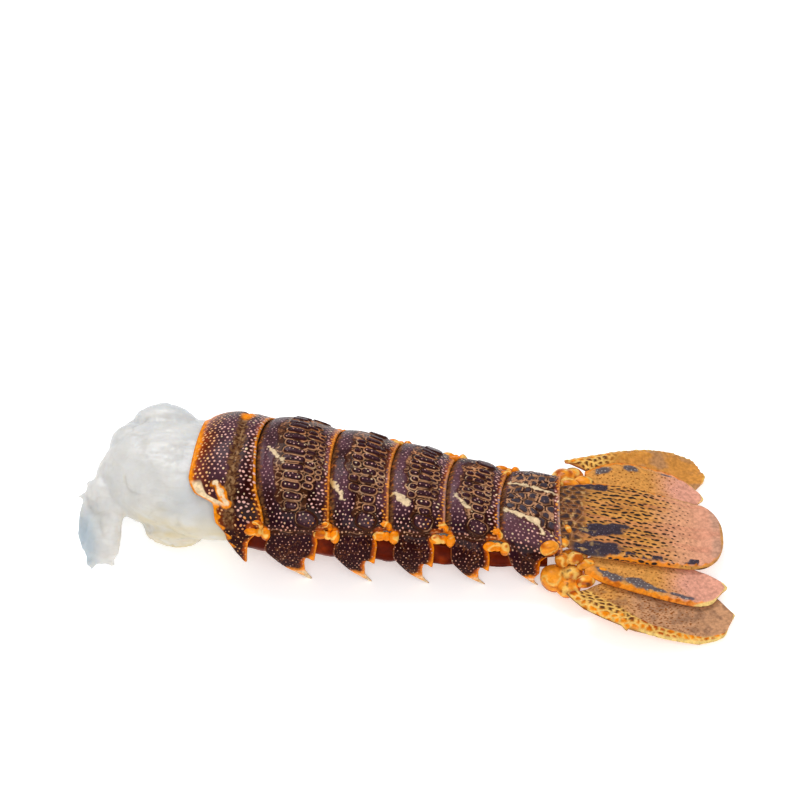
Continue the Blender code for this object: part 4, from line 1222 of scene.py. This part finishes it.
def telson_ink(blade):
    """How far each point is outside the telson's ink patches, less than 0 inside them."""
    along, side, to_edge = blade.s, blade.b, blade.to_edge
    ragged = 0.9 * blade.noise(0.3, 0.45, 4, 3)
    near_patch = oval(along - 10.0, side + 4.8 - 0.2 * (along - 10), 6.2, 3.1) + 0.7 * ragged
    edge_patch = oval(along - 8.2, side + 12.2 - 0.15 * (along - 8), 8.0, 2.8) + 0.4 * ragged
    far_patch = oval(along - 6.0, side - 14.0, 8.5, 1.9) + ragged
    thin = ramp(1.2, 2.0, to_edge) * ramp(3.6, 2.8, to_edge) * (side < 0) * (along > 16) * (along < 38)
    blotches = np.where(thin > 0.3, 0.45 - blade.noise(0.35, 0.2, 44) * 2.4, NONE_NEAR)
    return np.minimum(np.minimum(near_patch, far_patch), np.minimum(edge_patch, blotches))


def paint_telson(blade):
    """Dark scales at the base, rows of dark dashes, then bare salmon to a pale edge."""
    along, side, to_edge, to_end = blade.s, blade.b, blade.to_edge, blade.to_end
    wave = blade.noise(0.12, 0.2, 3, 3)
    blade.under = mix(TAN, SALMON, ramp(22, 34, along + 4 * wave))
    blade.tint(BASE_BROWN, 0.35 * ramp(14, 3, along + 3 * wave))
    blade.tint(PINK, 0.6 * ramp(33, 42, along))
    blade.tint(STREAK_BROWN, 0.5 * ramp(-0.05, 0.35, blade.noise(0.12, 1.5, 8)) * ramp(36, 22, along))
    blade.tint(STREAK_ROSE, 0.35 * ramp(0.0, 0.4, blade.noise(0.08, 0.7, 18)))
    seeds, rng = scatter(91, (TELSON_FROM, 38), (-17, 17), 1.85, 0.26)
    fade = ramp(40, 22, seeds[:, 0])
    size = rng.uniform(0.7, 1.2, len(seeds)) * (0.16 + 0.27 * fade)
    long = size * (1.3 + 1.0 * fade)
    blade.dot, _ = dot_field(along, side, seeds, long, size, rng.normal(0, 0.2, len(seeds)))
    blade.dot += 0.5 * ramp(36, 40, along)
    blade.dot_tone = np.broadcast_to(INK, along.shape + (3,))
    patch = telson_ink(blade)
    ink = ramp(0.14, -0.14, patch)
    blade.tint(INK_BLUE, 0.95 * ink)
    specks, _ = scatter(92, (TELSON_FROM, 40), (-17, 17), 1.15, 0.2)
    blade.speck_ink(ink, specks, 0.17, 0.15, INK_SPECK)
    paint_telson_scales(blade, wave, ink)
    near_rim = ramp(1.7, 1.0, to_edge + 0.8 * np.abs(np.sin(along * 1.1)) - 0.4) * ramp(9, 14, along)
    far_rim = ramp(0.9, 0.5, to_edge + 0.3 * np.sin(along * 2.1)) * (along < 30)
    blade.tint(ORANGE, 0.85 * np.where(side < 0, near_rim, far_rim))
    blade.tint(GLASSY, 0.6 * ramp(4.5, 2.5, to_end + 1.2 * wave) * ramp(-1.0, 4.0, np.abs(side)))
    margin = ramp(1.0, 0.5, np.minimum(to_edge + 0.4 * ramp(30, 20, along), to_end) + 0.4 * wave)
    blade.tint(TELSON_MARGIN, 0.85 * margin * ramp(28, 34, along))
    dash = 0.16 * ramp(0.15, -0.2, blade.dot) * (ink < 0.5)
    blade.relief += 0.12 * blade.noise(0.1, 0.9, 6) + dash + 0.35 * ink * ramp(0.0, -0.3, patch)


def dress_telson(material):
    """The middle blade."""
    share = np.sin(np.linspace(0, math.pi / 2, TELSON_COLUMNS))
    along = TELSON_FROM + (TELSON_LENGTH - TELSON_FROM) * share
    along, row = np.broadcast_arrays(along[None, :], np.linspace(-1, 1, TELSON_ROWS)[:, None])
    corner = np.clip((along - TELSON_CORNER_FROM) / (TELSON_LENGTH - TELSON_CORNER_FROM), 0, 1)
    half = curve(TELSON_HALF_WIDTH, along) * np.sqrt(1 - (0.97 * corner) ** 4)
    side = row * half
    to_edge = half - np.abs(side)
    blade = Blade(along, side, to_edge, TELSON_LENGTH - along)
    paint_telson(blade)
    lift = blade.relief + 0.5 * np.cos(row * math.pi / 2) - 0.45 * bell(to_edge, 0, 0.5)
    pick = TELSON_UNDER_COLUMNS
    depth = np.minimum(TELSON_UNDER_DEPTHS, 0.4 + to_edge[:, pick])
    top = blade_point(along, side, 0, lift)
    bottom = blade_point(along[:, pick], side[:, pick], 0, lift[:, pick] - depth)
    mesh = closed_sheet("telson_blade", top, bottom, blade.layers(), inner_side(TELSON_UNDERSIDE, 0.4, INK))
    return add_piece("telson_blade", mesh, material, ["telson"])


def dress_blade(name, node, edges, drop, sign, paint, material):
    """A side blade between its outer and inner edge, on one side of the fan."""
    share = np.sin(np.linspace(0, math.pi / 2, BLADE_COLUMNS))
    outer, inner = (edge_points(edge, share) for edge in edges)
    row, column = np.broadcast_arrays(np.linspace(0, 1, BLADE_ROWS)[:, None], share[None, :])
    flat = inner[None] * (1 - row[..., None]) + outer[None] * row[..., None]
    along, side = flat[..., 0], flat[..., 1]
    middle = row * (1 - row)
    frill = 0.3 * np.sin(side * 1.9 + drop) * 3 * middle * column ** 9
    if name == TOOTHED_BLADE:
        side = side + 1.7 * row ** 10 * bell(along, 15.6, 0.8)
    along = along + BLADE_TIP_BULGE * 4 * middle * column ** 6 + frill
    width = np.linalg.norm(outer - inner, axis=1)[None, :]
    blade = Blade(along, side, (1 - row) * width, (1 - column) * BLADE_LENGTH)
    paint(blade)
    edge = np.minimum(np.minimum(blade.to_edge, row * width), blade.to_end + 0.2)
    lift = blade.relief - 0.4 * bell(edge, 0, 0.45)
    pick = BLADE_UNDER_COLUMNS
    depth = np.minimum(BLADE_WALL, 0.45 + edge[:, pick])
    top = blade_point(along, sign * side, drop, lift)
    bottom = blade_point(along[:, pick], sign * side[:, pick], drop, np.minimum(lift[:, pick], 0) - depth)
    mesh = closed_sheet(name, top, bottom, blade.layers(), inner_side(BLADE_UNDERSIDE, 0.4, INK))
    return add_piece(name, mesh, material, [node])


def paint_inner_blade(blade, patches=1.0):
    """Orange outer edge, a dark dotted ridge inside it, then spotted tan that turns pink, and a pale tip."""
    along, to_edge, to_end = blade.s, blade.to_edge, blade.to_end
    wave = blade.noise(0.15, 0.2, 3, 3)
    blade.under = mix(TAN, PINK, ramp(24, 36, along + 3 * wave))
    blade.spots(101, (0, 48), (5, 30), 1.35, 0.30, 42)
    ragged = 0.8 * blade.noise(0.3, 0.3, 14, 3)
    first = oval(along - 10.5, to_edge - 3.6, 4.8, 2.3) + ragged
    second = oval(along - 19.5, to_edge - 3.2, 3.4, 1.9) + ragged
    rest = oval(along - 28.0, to_edge - 2.4, 5.0, 0.6) + 3 * ragged
    ink = ramp(0.15, -0.15, np.minimum(np.minimum(first, second), rest + 0.3) + 0.6 * (1 - patches))
    blade.tint(INK_GREY, 0.9 * ink)
    specks, _ = scatter(102, (0, 48), (5, 30), 1.25, 0.25)
    blade.speck_ink(ink, specks, 0.26, 0.22, PALE_SPECK)
    orange = ramp(1.7, 1.0, to_edge + 0.7 * np.abs(np.sin(along * 0.9)) - 0.3 + 0.4 * wave)
    orange = orange * ramp(44, 34, along + 3 * wave)
    blade.tint(ORANGE, 0.85 * orange)
    blade.tint(DEEP_ORANGE, 0.7 * orange * ramp(0.0, 0.4, blade.noise(0.9, 0.9, 2)))
    base = ramp(8.5, 5.0, along + 2 * wave)
    blade.tint(mix(ORANGE, TAN, 0.5 + wave), 0.8 * base)
    margin = ramp(1.5, 0.8, np.minimum(to_end, to_edge + 3 * ramp(40, 30, along)) + 0.3 * wave)
    blade.tint(PALE_EDGE, 0.9 * margin)
    blade.dot += orange * 0.6 + base * 0.5 + margin
    blade.relief += 0.75 * bell(to_edge, 3.0, 1.8) * ramp(44, 26, along) + 0.1 * wave


def paint_far_inner_blade(blade):
    """The far inner blade: the same, with its ink patches all but gone."""
    paint_inner_blade(blade, 0.3)


def paint_outer_blade(blade):
    """A mottled orange and cream outer ridge, grey brown spotted skin inside it, and a pale toothed rim."""
    along, side, to_edge = blade.s, blade.b, blade.to_edge
    wave = blade.noise(0.15, 0.2, 5, 3)
    blade.under = mix(MAUVE, TAN, ramp(24, 10, along + 3 * wave))
    blade.tint(MOTTLE_BROWN, 0.5 * ramp(0.0, 0.4, blade.noise(0.5, 0.5, 8)))
    blade.spots(111, (-6, 50), (15, 44), 1.0, 0.32, 52)
    reach = np.interp(along, (0, 10, 16, 22, 36, 46), (5.5, 7.2, 6.6, 4.2, 2.4, 1.5))
    band = ramp(0.5, -0.5, to_edge - reach + 1.2 * wave)
    seeds, _ = scatter(112, (-6, 50), (15, 46), 2.1, 0.3)
    border = cell_field(along + wave, side + wave, seeds, 1.2)
    pattern = mix(ORANGE, DEEP_ORANGE, ramp(-0.1, 0.3, wave))
    pattern = mix(pattern, RIDGE_CREAM, ramp(0.45, 0.15, border))
    dark = ramp(-0.05, 0.2, blade.noise(0.35, 0.35, 19, 3) + 0.4) * ramp(1.6, 2.6, to_edge)
    pattern = mix(pattern, RIDGE_DARK, 0.92 * dark * ramp(22, 16, along) * ramp(0.28, 0.42, border))
    blade.tint(pattern, band)
    edge = np.minimum(blade.to_end, to_edge)
    margin = ramp(1.1, 0.5, edge + 0.3 * wave) * ramp(16, 24, along)
    blade.tint(PALE_EDGE, 0.85 * margin)
    blade.tint(RIM_BROWN, 0.8 * ramp(0.3, 0.1, edge) * (1 - margin))
    blade.dot += band + margin
    blade.relief += 0.8 * bell(to_edge, 2.8, 2.2) * ramp(46, 20, along) + 0.10 * wave
    blade.relief += 0.28 * ramp(0.1, 0.7, border) * band


def paint_far_outer_blade(blade):
    """The far outer blade, thin and lit through: orange brown, with dashes at its base and a yellow rim."""
    paint_outer_blade(blade)
    wave = blade.noise(0.2, 0.25, 15, 3)
    distal = ramp(10, 18, blade.s + 2 * wave)
    blade.tint(mix(AMBER, DULL_AMBER, ramp(-0.3, 0.3, wave)), 0.92 * distal)
    blade.tint(YELLOW_RIM, 0.8 * ramp(1.2, 0.5, np.minimum(blade.to_end, blade.to_edge) + 0.3 * wave))
    blade.dot += 0.6 * distal


# Rounded lumps: hinge knobs and the joints that carry the blades

# The joints' own lumps, as distances along the fan, out from its middle line and above it, and radii
NEAR_BASE_LUMPS = (
    ((-2.9, 19.0, -6.7), (4.1, 4.4, 3.6)),
    ((1.8, 18.6, -4.8), (3.4, 3.2, 2.7)),
    ((1.0, 22.4, -6.2), (3.6, 3.2, 2.8)),
)
FAR_BASE_LUMPS = (
    ((0.8, 20.0, -4.4), (4.2, 3.9, 3.6)),
    ((4.0, 23.6, -5.4), (3.2, 2.9, 2.4)),
)
BASE_LUMP_TURN = 0.35
KNOB_SINK = 0.4
# Each hinge's knobs and curls, as distance behind the station and height above the hinge, and radii
KNOBS = (
    ((-2.3, -1.0), (2.3, 1.6, 1.3)),
    ((2.0, -1.6), (1.5, 1.6, 2.2)),
    ((-0.1, -1.2), (1.3, 1.3, 1.3)),
    ((-0.9, 1.3), (1.5, 1.0, 0.9)),
    ((0.5, 0.6), (0.8, 0.9, 1.3)),
)

# Small orange lumps between the fan joints, the telson and the blades, all beside or under the joints' own
NEAR_EXTRA_LUMPS = (
    ((-6.2, 14.9, 0.3), (2.9, 1.9, 2.5)),
    ((-2.4, 12.2, 0.1), (2.0, 1.6, 1.1)),
    ((-0.8, 7.0, 0.5), (0.9, 1.6, 0.7)),
    ((1.6, 15.6, -1.0), (2.5, 2.2, 1.5)),
    ((5.0, 17.2, -1.6), (2.8, 1.9, 1.3)),
    ((-1.8, 16.2, -1.9), (2.2, 2.2, 2.2)),
    ((8.6, 19.4, -1.9), (2.6, 1.4, 1.0)),
    ((1.5, 13.2, -3.2), (5.0, 3.0, 1.8)),
    ((5.2, 22.0, -3.4), (3.0, 2.2, 1.6)),
)
FAR_EXTRA_LUMPS = (
    ((-3.2, 13.6, -0.6), (2.6, 1.9, 1.6)),
    ((1.4, 15.4, -1.2), (3.0, 2.0, 1.4)),
    ((6.0, 18.0, -1.8), (3.2, 2.0, 1.2)),
    ((1.5, 13.0, -3.2), (5.0, 3.0, 1.8)),
)


def lump_paint(points, seed, creamy):
    """Orange with cream curls; the fan's joints are creamier, with a few dark flecks."""
    x, y, z = points.T
    swirl = np.abs(fractal(x * 0.3, y * 0.3, z * 0.3 + seed, 2))
    warm = mix(ORANGE, LUMP_YELLOW, 0.4 * creamy)
    under = mix(warm, DEEP_ORANGE, 0.9 * ramp(-0.05, 0.4, fractal(x * 0.2, y * 0.2, z, 2)))
    under = mix(under, LUMP_CREAM, 0.8 * ramp(0.10 + 0.04 * creamy, 0.03, swirl))
    flecks = ramp(0.32, 0.5, fractal(x * 0.7, y * 0.7, z * 0.7 + 9, 2))
    return mix(under, LUMP_FLECK, 0.75 * flecks * creamy)


def add_lumps(name, lumps, material, creamy, nodes=()):
    """Several rounded lumps as one piece: each a squashed sphere with uneven sides."""
    bm = bmesh.new()
    bmesh.ops.create_icosphere(bm, subdivisions=4, radius=1)
    sphere = np.array([vertex.co for vertex in bm.verts])
    triangles = np.array([[vertex.index for vertex in face.verts] for face in bm.faces])
    bm.free()
    points, faces = [], []
    for number, (centre, radii, turn) in enumerate(lumps):
        x, y, z = sphere.T * 1.4
        uneven = 1 + 0.07 * fractal(x + 3 * number, y, z, 3)
        x, y, z = (sphere * uneven[:, None] * radii).T
        cosine, sine = math.cos(turn), math.sin(turn)
        points.append(np.stack([x * cosine - y * sine, x * sine + y * cosine, z], -1) + centre)
        faces.append(triangles + number * len(sphere))
    points = np.concatenate(points)
    layers = {"under": lump_paint(points, len(lumps), creamy), "rough": np.full(len(points), 0.3)}
    mesh = make_mesh(name, points, np.concatenate(faces).tolist(), layers)
    return add_piece(name, mesh, material, nodes)


def dress_knobs(material):
    """The orange knobs and curls at the hinges, on both sides."""
    lumps = []
    for at in range(1, SEGMENT_COUNT):
        for (along, up), radii in KNOBS:
            s, level = STATIONS[at] + along, HINGE_LEVEL[at] + up
            for sign in (-1, 1):
                side = side_at_level(np.array(s), np.array(level))[0] - KNOB_SINK
                lumps.append((place(s, sign * side, level), radii, float(yaw_at(s))))
    add_lumps("hinge_knobs", lumps, material, 0.0)


def dress_bases(material):
    """The lumpy joints that carry the side blades."""
    for side_name, sign, base_lumps in (("near", -1, NEAR_BASE_LUMPS + NEAR_EXTRA_LUMPS),
                                        ("far", 1, FAR_BASE_LUMPS + FAR_EXTRA_LUMPS)):
        turn = FAN_YAW - sign * BASE_LUMP_TURN
        lumps = [(fan_point(along, np.array(float(sign * side)), above), radii, turn)
                 for (along, side, above), radii in base_lumps]
        add_lumps(f"fan_joint_{side_name}", lumps, material, 1.0, [f"fan_base_{side_name}"])


# Materials

def map_range(nodes, links, value, low, high, to_low=0.0, to_high=1.0):
    node = nodes.new("ShaderNodeMapRange")
    node.interpolation_type = "SMOOTHSTEP"
    links.new(value, node.inputs["Value"])
    for key, number in (("From Min", low), ("From Max", high), ("To Min", to_low), ("To Max", to_high)):
        node.inputs[key].default_value = number
    return node.outputs["Result"]


def mix_colour(nodes, links, share, first, second, blend="MIX"):
    node = nodes.new("ShaderNodeMix")
    node.data_type = "RGBA"
    node.blend_type = blend
    for socket, value in ((node.inputs[0], share), (node.inputs[6], first), (node.inputs[7], second)):
        if isinstance(value, (int, float)):
            socket.default_value = value
        elif isinstance(value, (tuple, list, np.ndarray)):
            socket.default_value = (*value, 1)
        else:
            links.new(value, socket)
    return node.outputs[2]


def noise_node(nodes, links, scale, detail=3.0, roughness=0.6):
    where = nodes.new("ShaderNodeTexCoord")
    node = nodes.new("ShaderNodeTexNoise")
    node.inputs["Scale"].default_value = scale
    node.inputs["Detail"].default_value = detail
    node.inputs["Roughness"].default_value = roughness
    links.new(where.outputs["Object"], node.inputs["Vector"])
    return node.outputs["Fac"]


def add_bump(nodes, links, shader, height, strength, distance):
    bump = nodes.new("ShaderNodeBump")
    bump.inputs["Strength"].default_value = strength
    bump.inputs["Distance"].default_value = distance
    links.new(height, bump.inputs["Height"])
    links.new(bump.outputs["Normal"], shader.inputs["Normal"])


def shell_material(name, coat=0.06):
    """Wet shell: the painted ground, thin groove lines over it, pale dots over both, and a fine grain."""
    material, nodes, links, shader = material_nodes(name)
    under = attribute(nodes, "under").outputs["Color"]
    net_share = map_range(nodes, links, attribute(nodes, "net").outputs["Fac"], 0.05, 0.26, 1, 0)
    lined = mix_colour(nodes, links, net_share, under, attribute(nodes, "net_tone").outputs["Color"])
    dot_share = map_range(nodes, links, attribute(nodes, "dot").outputs["Fac"], -0.16, 0.06, 1, 0)
    dotted = mix_colour(nodes, links, dot_share, lined, attribute(nodes, "dot_tone").outputs["Color"])
    shade = map_range(nodes, links, noise_node(nodes, links, 900), 0.25, 0.75, 0.72, 1.2)
    grained = mix_colour(nodes, links, 1.0, dotted, shade, "MULTIPLY")
    links.new(grained, shader.inputs["Base Color"])
    rough = attribute(nodes, "rough").outputs["Fac"]
    spread = nodes.new("ShaderNodeMath")
    spread.operation = "MULTIPLY_ADD"
    links.new(noise_node(nodes, links, 420), spread.inputs[0])
    spread.inputs[1].default_value = 0.22
    links.new(rough, spread.inputs[2])
    links.new(spread.outputs[0], shader.inputs["Roughness"])
    shader.inputs["Coat Weight"].default_value = coat
    shader.inputs["Coat Roughness"].default_value = 0.08
    shader.inputs["Specular IOR Level"].default_value = 0.04
    add_bump(nodes, links, shader, noise_node(nodes, links, 1500), 0.25, 0.0002)
    return material


def plain_painted_material(name, coat=0.06, specular=0.1):
    """Painted ground with a fine grain: belly skin, knobs and joints."""
    material, nodes, links, shader = material_nodes(name)
    grain = map_range(nodes, links, noise_node(nodes, links, 700), 0.25, 0.75, 0.78, 1.15)
    grained = mix_colour(nodes, links, 1.0, attribute(nodes, "under").outputs["Color"], grain, "MULTIPLY")
    links.new(grained, shader.inputs["Base Color"])
    links.new(attribute(nodes, "rough").outputs["Fac"], shader.inputs["Roughness"])
    shader.inputs["Coat Weight"].default_value = coat
    shader.inputs["Coat Roughness"].default_value = 0.15
    shader.inputs["Specular IOR Level"].default_value = specular
    add_bump(nodes, links, shader, noise_node(nodes, links, 1100), 0.3, 0.0002)
    return material


def meat_material():
    """Wet raw meat: soft, slightly see-through, with fine fibres."""
    material, nodes, links, shader = material_nodes("raw meat")
    mottle = map_range(nodes, links, noise_node(nodes, links, 160, 5), 0.3, 0.7, 0.93, 1.03)
    tinted = mix_colour(nodes, links, 1.0, attribute(nodes, "under").outputs["Color"], mottle, "MULTIPLY")
    links.new(tinted, shader.inputs["Base Color"])
    shader.inputs["Subsurface Weight"].default_value = 0.6
    shader.inputs["Subsurface Radius"].default_value = (0.9, 0.7, 0.5)
    shader.inputs["Subsurface Scale"].default_value = 0.004
    shader.inputs["Roughness"].default_value = 0.38
    shader.inputs["Specular IOR Level"].default_value = 0.3
    shader.inputs["Coat Weight"].default_value = 0.15
    shader.inputs["Coat Roughness"].default_value = 0.25
    add_bump(nodes, links, shader, noise_node(nodes, links, 500, 4), 0.3, 0.0004)
    return material


# Camera, light and floor

CAMERA_AZIMUTH = math.radians(4)
CAMERA_ELEVATION = math.radians(43.5)
CAMERA_DISTANCE = 0.8
CAMERA_LENS = 124.2
CAMERA_SHIFT = (-0.06875, 0.1375)
CAMERA_TARGET_HEIGHT = 0.010
FLOOR_HALF_WIDTH = 3.0


def add_camera():
    back = Vector((math.sin(CAMERA_AZIMUTH) * math.cos(CAMERA_ELEVATION),
                   -math.cos(CAMERA_AZIMUTH) * math.cos(CAMERA_ELEVATION), math.sin(CAMERA_ELEVATION)))
    target = Vector((*(FOOTPRINT_SHIFT[:2] * MM), CAMERA_TARGET_HEIGHT))
    data = bpy.data.cameras.new("camera")
    data.lens = CAMERA_LENS
    data.sensor_width = 36
    data.shift_x, data.shift_y = CAMERA_SHIFT
    data.clip_start, data.clip_end = 0.05, 10
    camera = bpy.data.objects.new("camera", data)
    camera.location = target + back * CAMERA_DISTANCE
    camera.rotation_mode = "QUATERNION"
    camera.rotation_quaternion = (-back).to_track_quat("-Z", "Y")
    bpy.context.scene.collection.objects.link(camera)
    bpy.context.scene.camera = camera


def add_light(name, location, size, power, tint=(1, 1, 1)):
    data = bpy.data.lights.new(name, "AREA")
    data.shape = "RECTANGLE"
    data.size, data.size_y = size
    data.energy = power
    data.color = tint
    light = bpy.data.objects.new(name, data)
    light.location = location
    light.rotation_mode = "QUATERNION"
    light.rotation_quaternion = (-Vector(location)).to_track_quat("-Z", "Y")
    bpy.context.scene.collection.objects.link(light)


def add_surroundings():
    world = bpy.data.worlds.new("studio")
    bpy.context.scene.world = world
    world.use_nodes = True
    background = world.node_tree.nodes["Background"]
    background.inputs["Color"].default_value = (0.98, 0.98, 1.0, 1)
    background.inputs["Strength"].default_value = 0.45
    add_light("key", (-0.25, 0.50, 0.80), (0.5, 0.4), 5.5, (0.98, 0.98, 1.0))
    add_light("fill", (0.15, -0.70, 0.65), (0.7, 0.5), 4.5, (1.0, 0.99, 0.98))
    mesh = bpy.data.meshes.new("floor")
    half = FLOOR_HALF_WIDTH
    corners = [(-half, -half, 0), (half, -half, 0), (half, half, 0), (-half, half, 0)]
    mesh.from_pydata(corners, [], [(0, 1, 2, 3)])
    material, _, _, shader = material_nodes("floor")
    shader.inputs["Base Color"].default_value = (0.92, 0.92, 0.92, 1)
    shader.inputs["Roughness"].default_value = 0.8
    shader.inputs["Emission Color"].default_value = (1, 1, 1, 1)
    shader.inputs["Emission Strength"].default_value = 0.4
    mesh.materials.append(material)
    floor = bpy.data.objects.new("floor", mesh)
    bpy.context.scene.collection.objects.link(floor)


bpy.context.scene.view_settings.view_transform = "Standard"
shell = shell_material("wet shell")
for segment_index in range(SEGMENT_COUNT):
    dress_segment(segment_index, shell)
dress_belly(plain_painted_material("belly skin", 0.02, 0.04))
dress_meat(meat_material())
fan_shell = shell_material("fan shell", 0.08)
dress_telson(fan_shell)
for blade_name, node_name, blade_edges, layer_drop, fan_side, paint_blade in (
    ("inner_fan_blade_near", "inner_blade_near", NEAR_INNER_EDGES, INNER_BLADE_DROP, -1, paint_inner_blade),
    ("outer_fan_blade_near", "outer_blade_near", NEAR_OUTER_EDGES, OUTER_BLADE_DROP, -1, paint_outer_blade),
    ("inner_fan_blade_far", "inner_blade_far", FAR_INNER_EDGES, INNER_BLADE_DROP, 1, paint_far_inner_blade),
    ("outer_fan_blade_far", "outer_blade_far", FAR_OUTER_EDGES, OUTER_BLADE_DROP, 1, paint_far_outer_blade),
):
    dress_blade(blade_name, node_name, blade_edges, layer_drop, fan_side, paint_blade, fan_shell)
orange_shell = plain_painted_material("orange shell")
dress_knobs(orange_shell)
dress_bases(orange_shell)
add_camera()
add_surroundings()
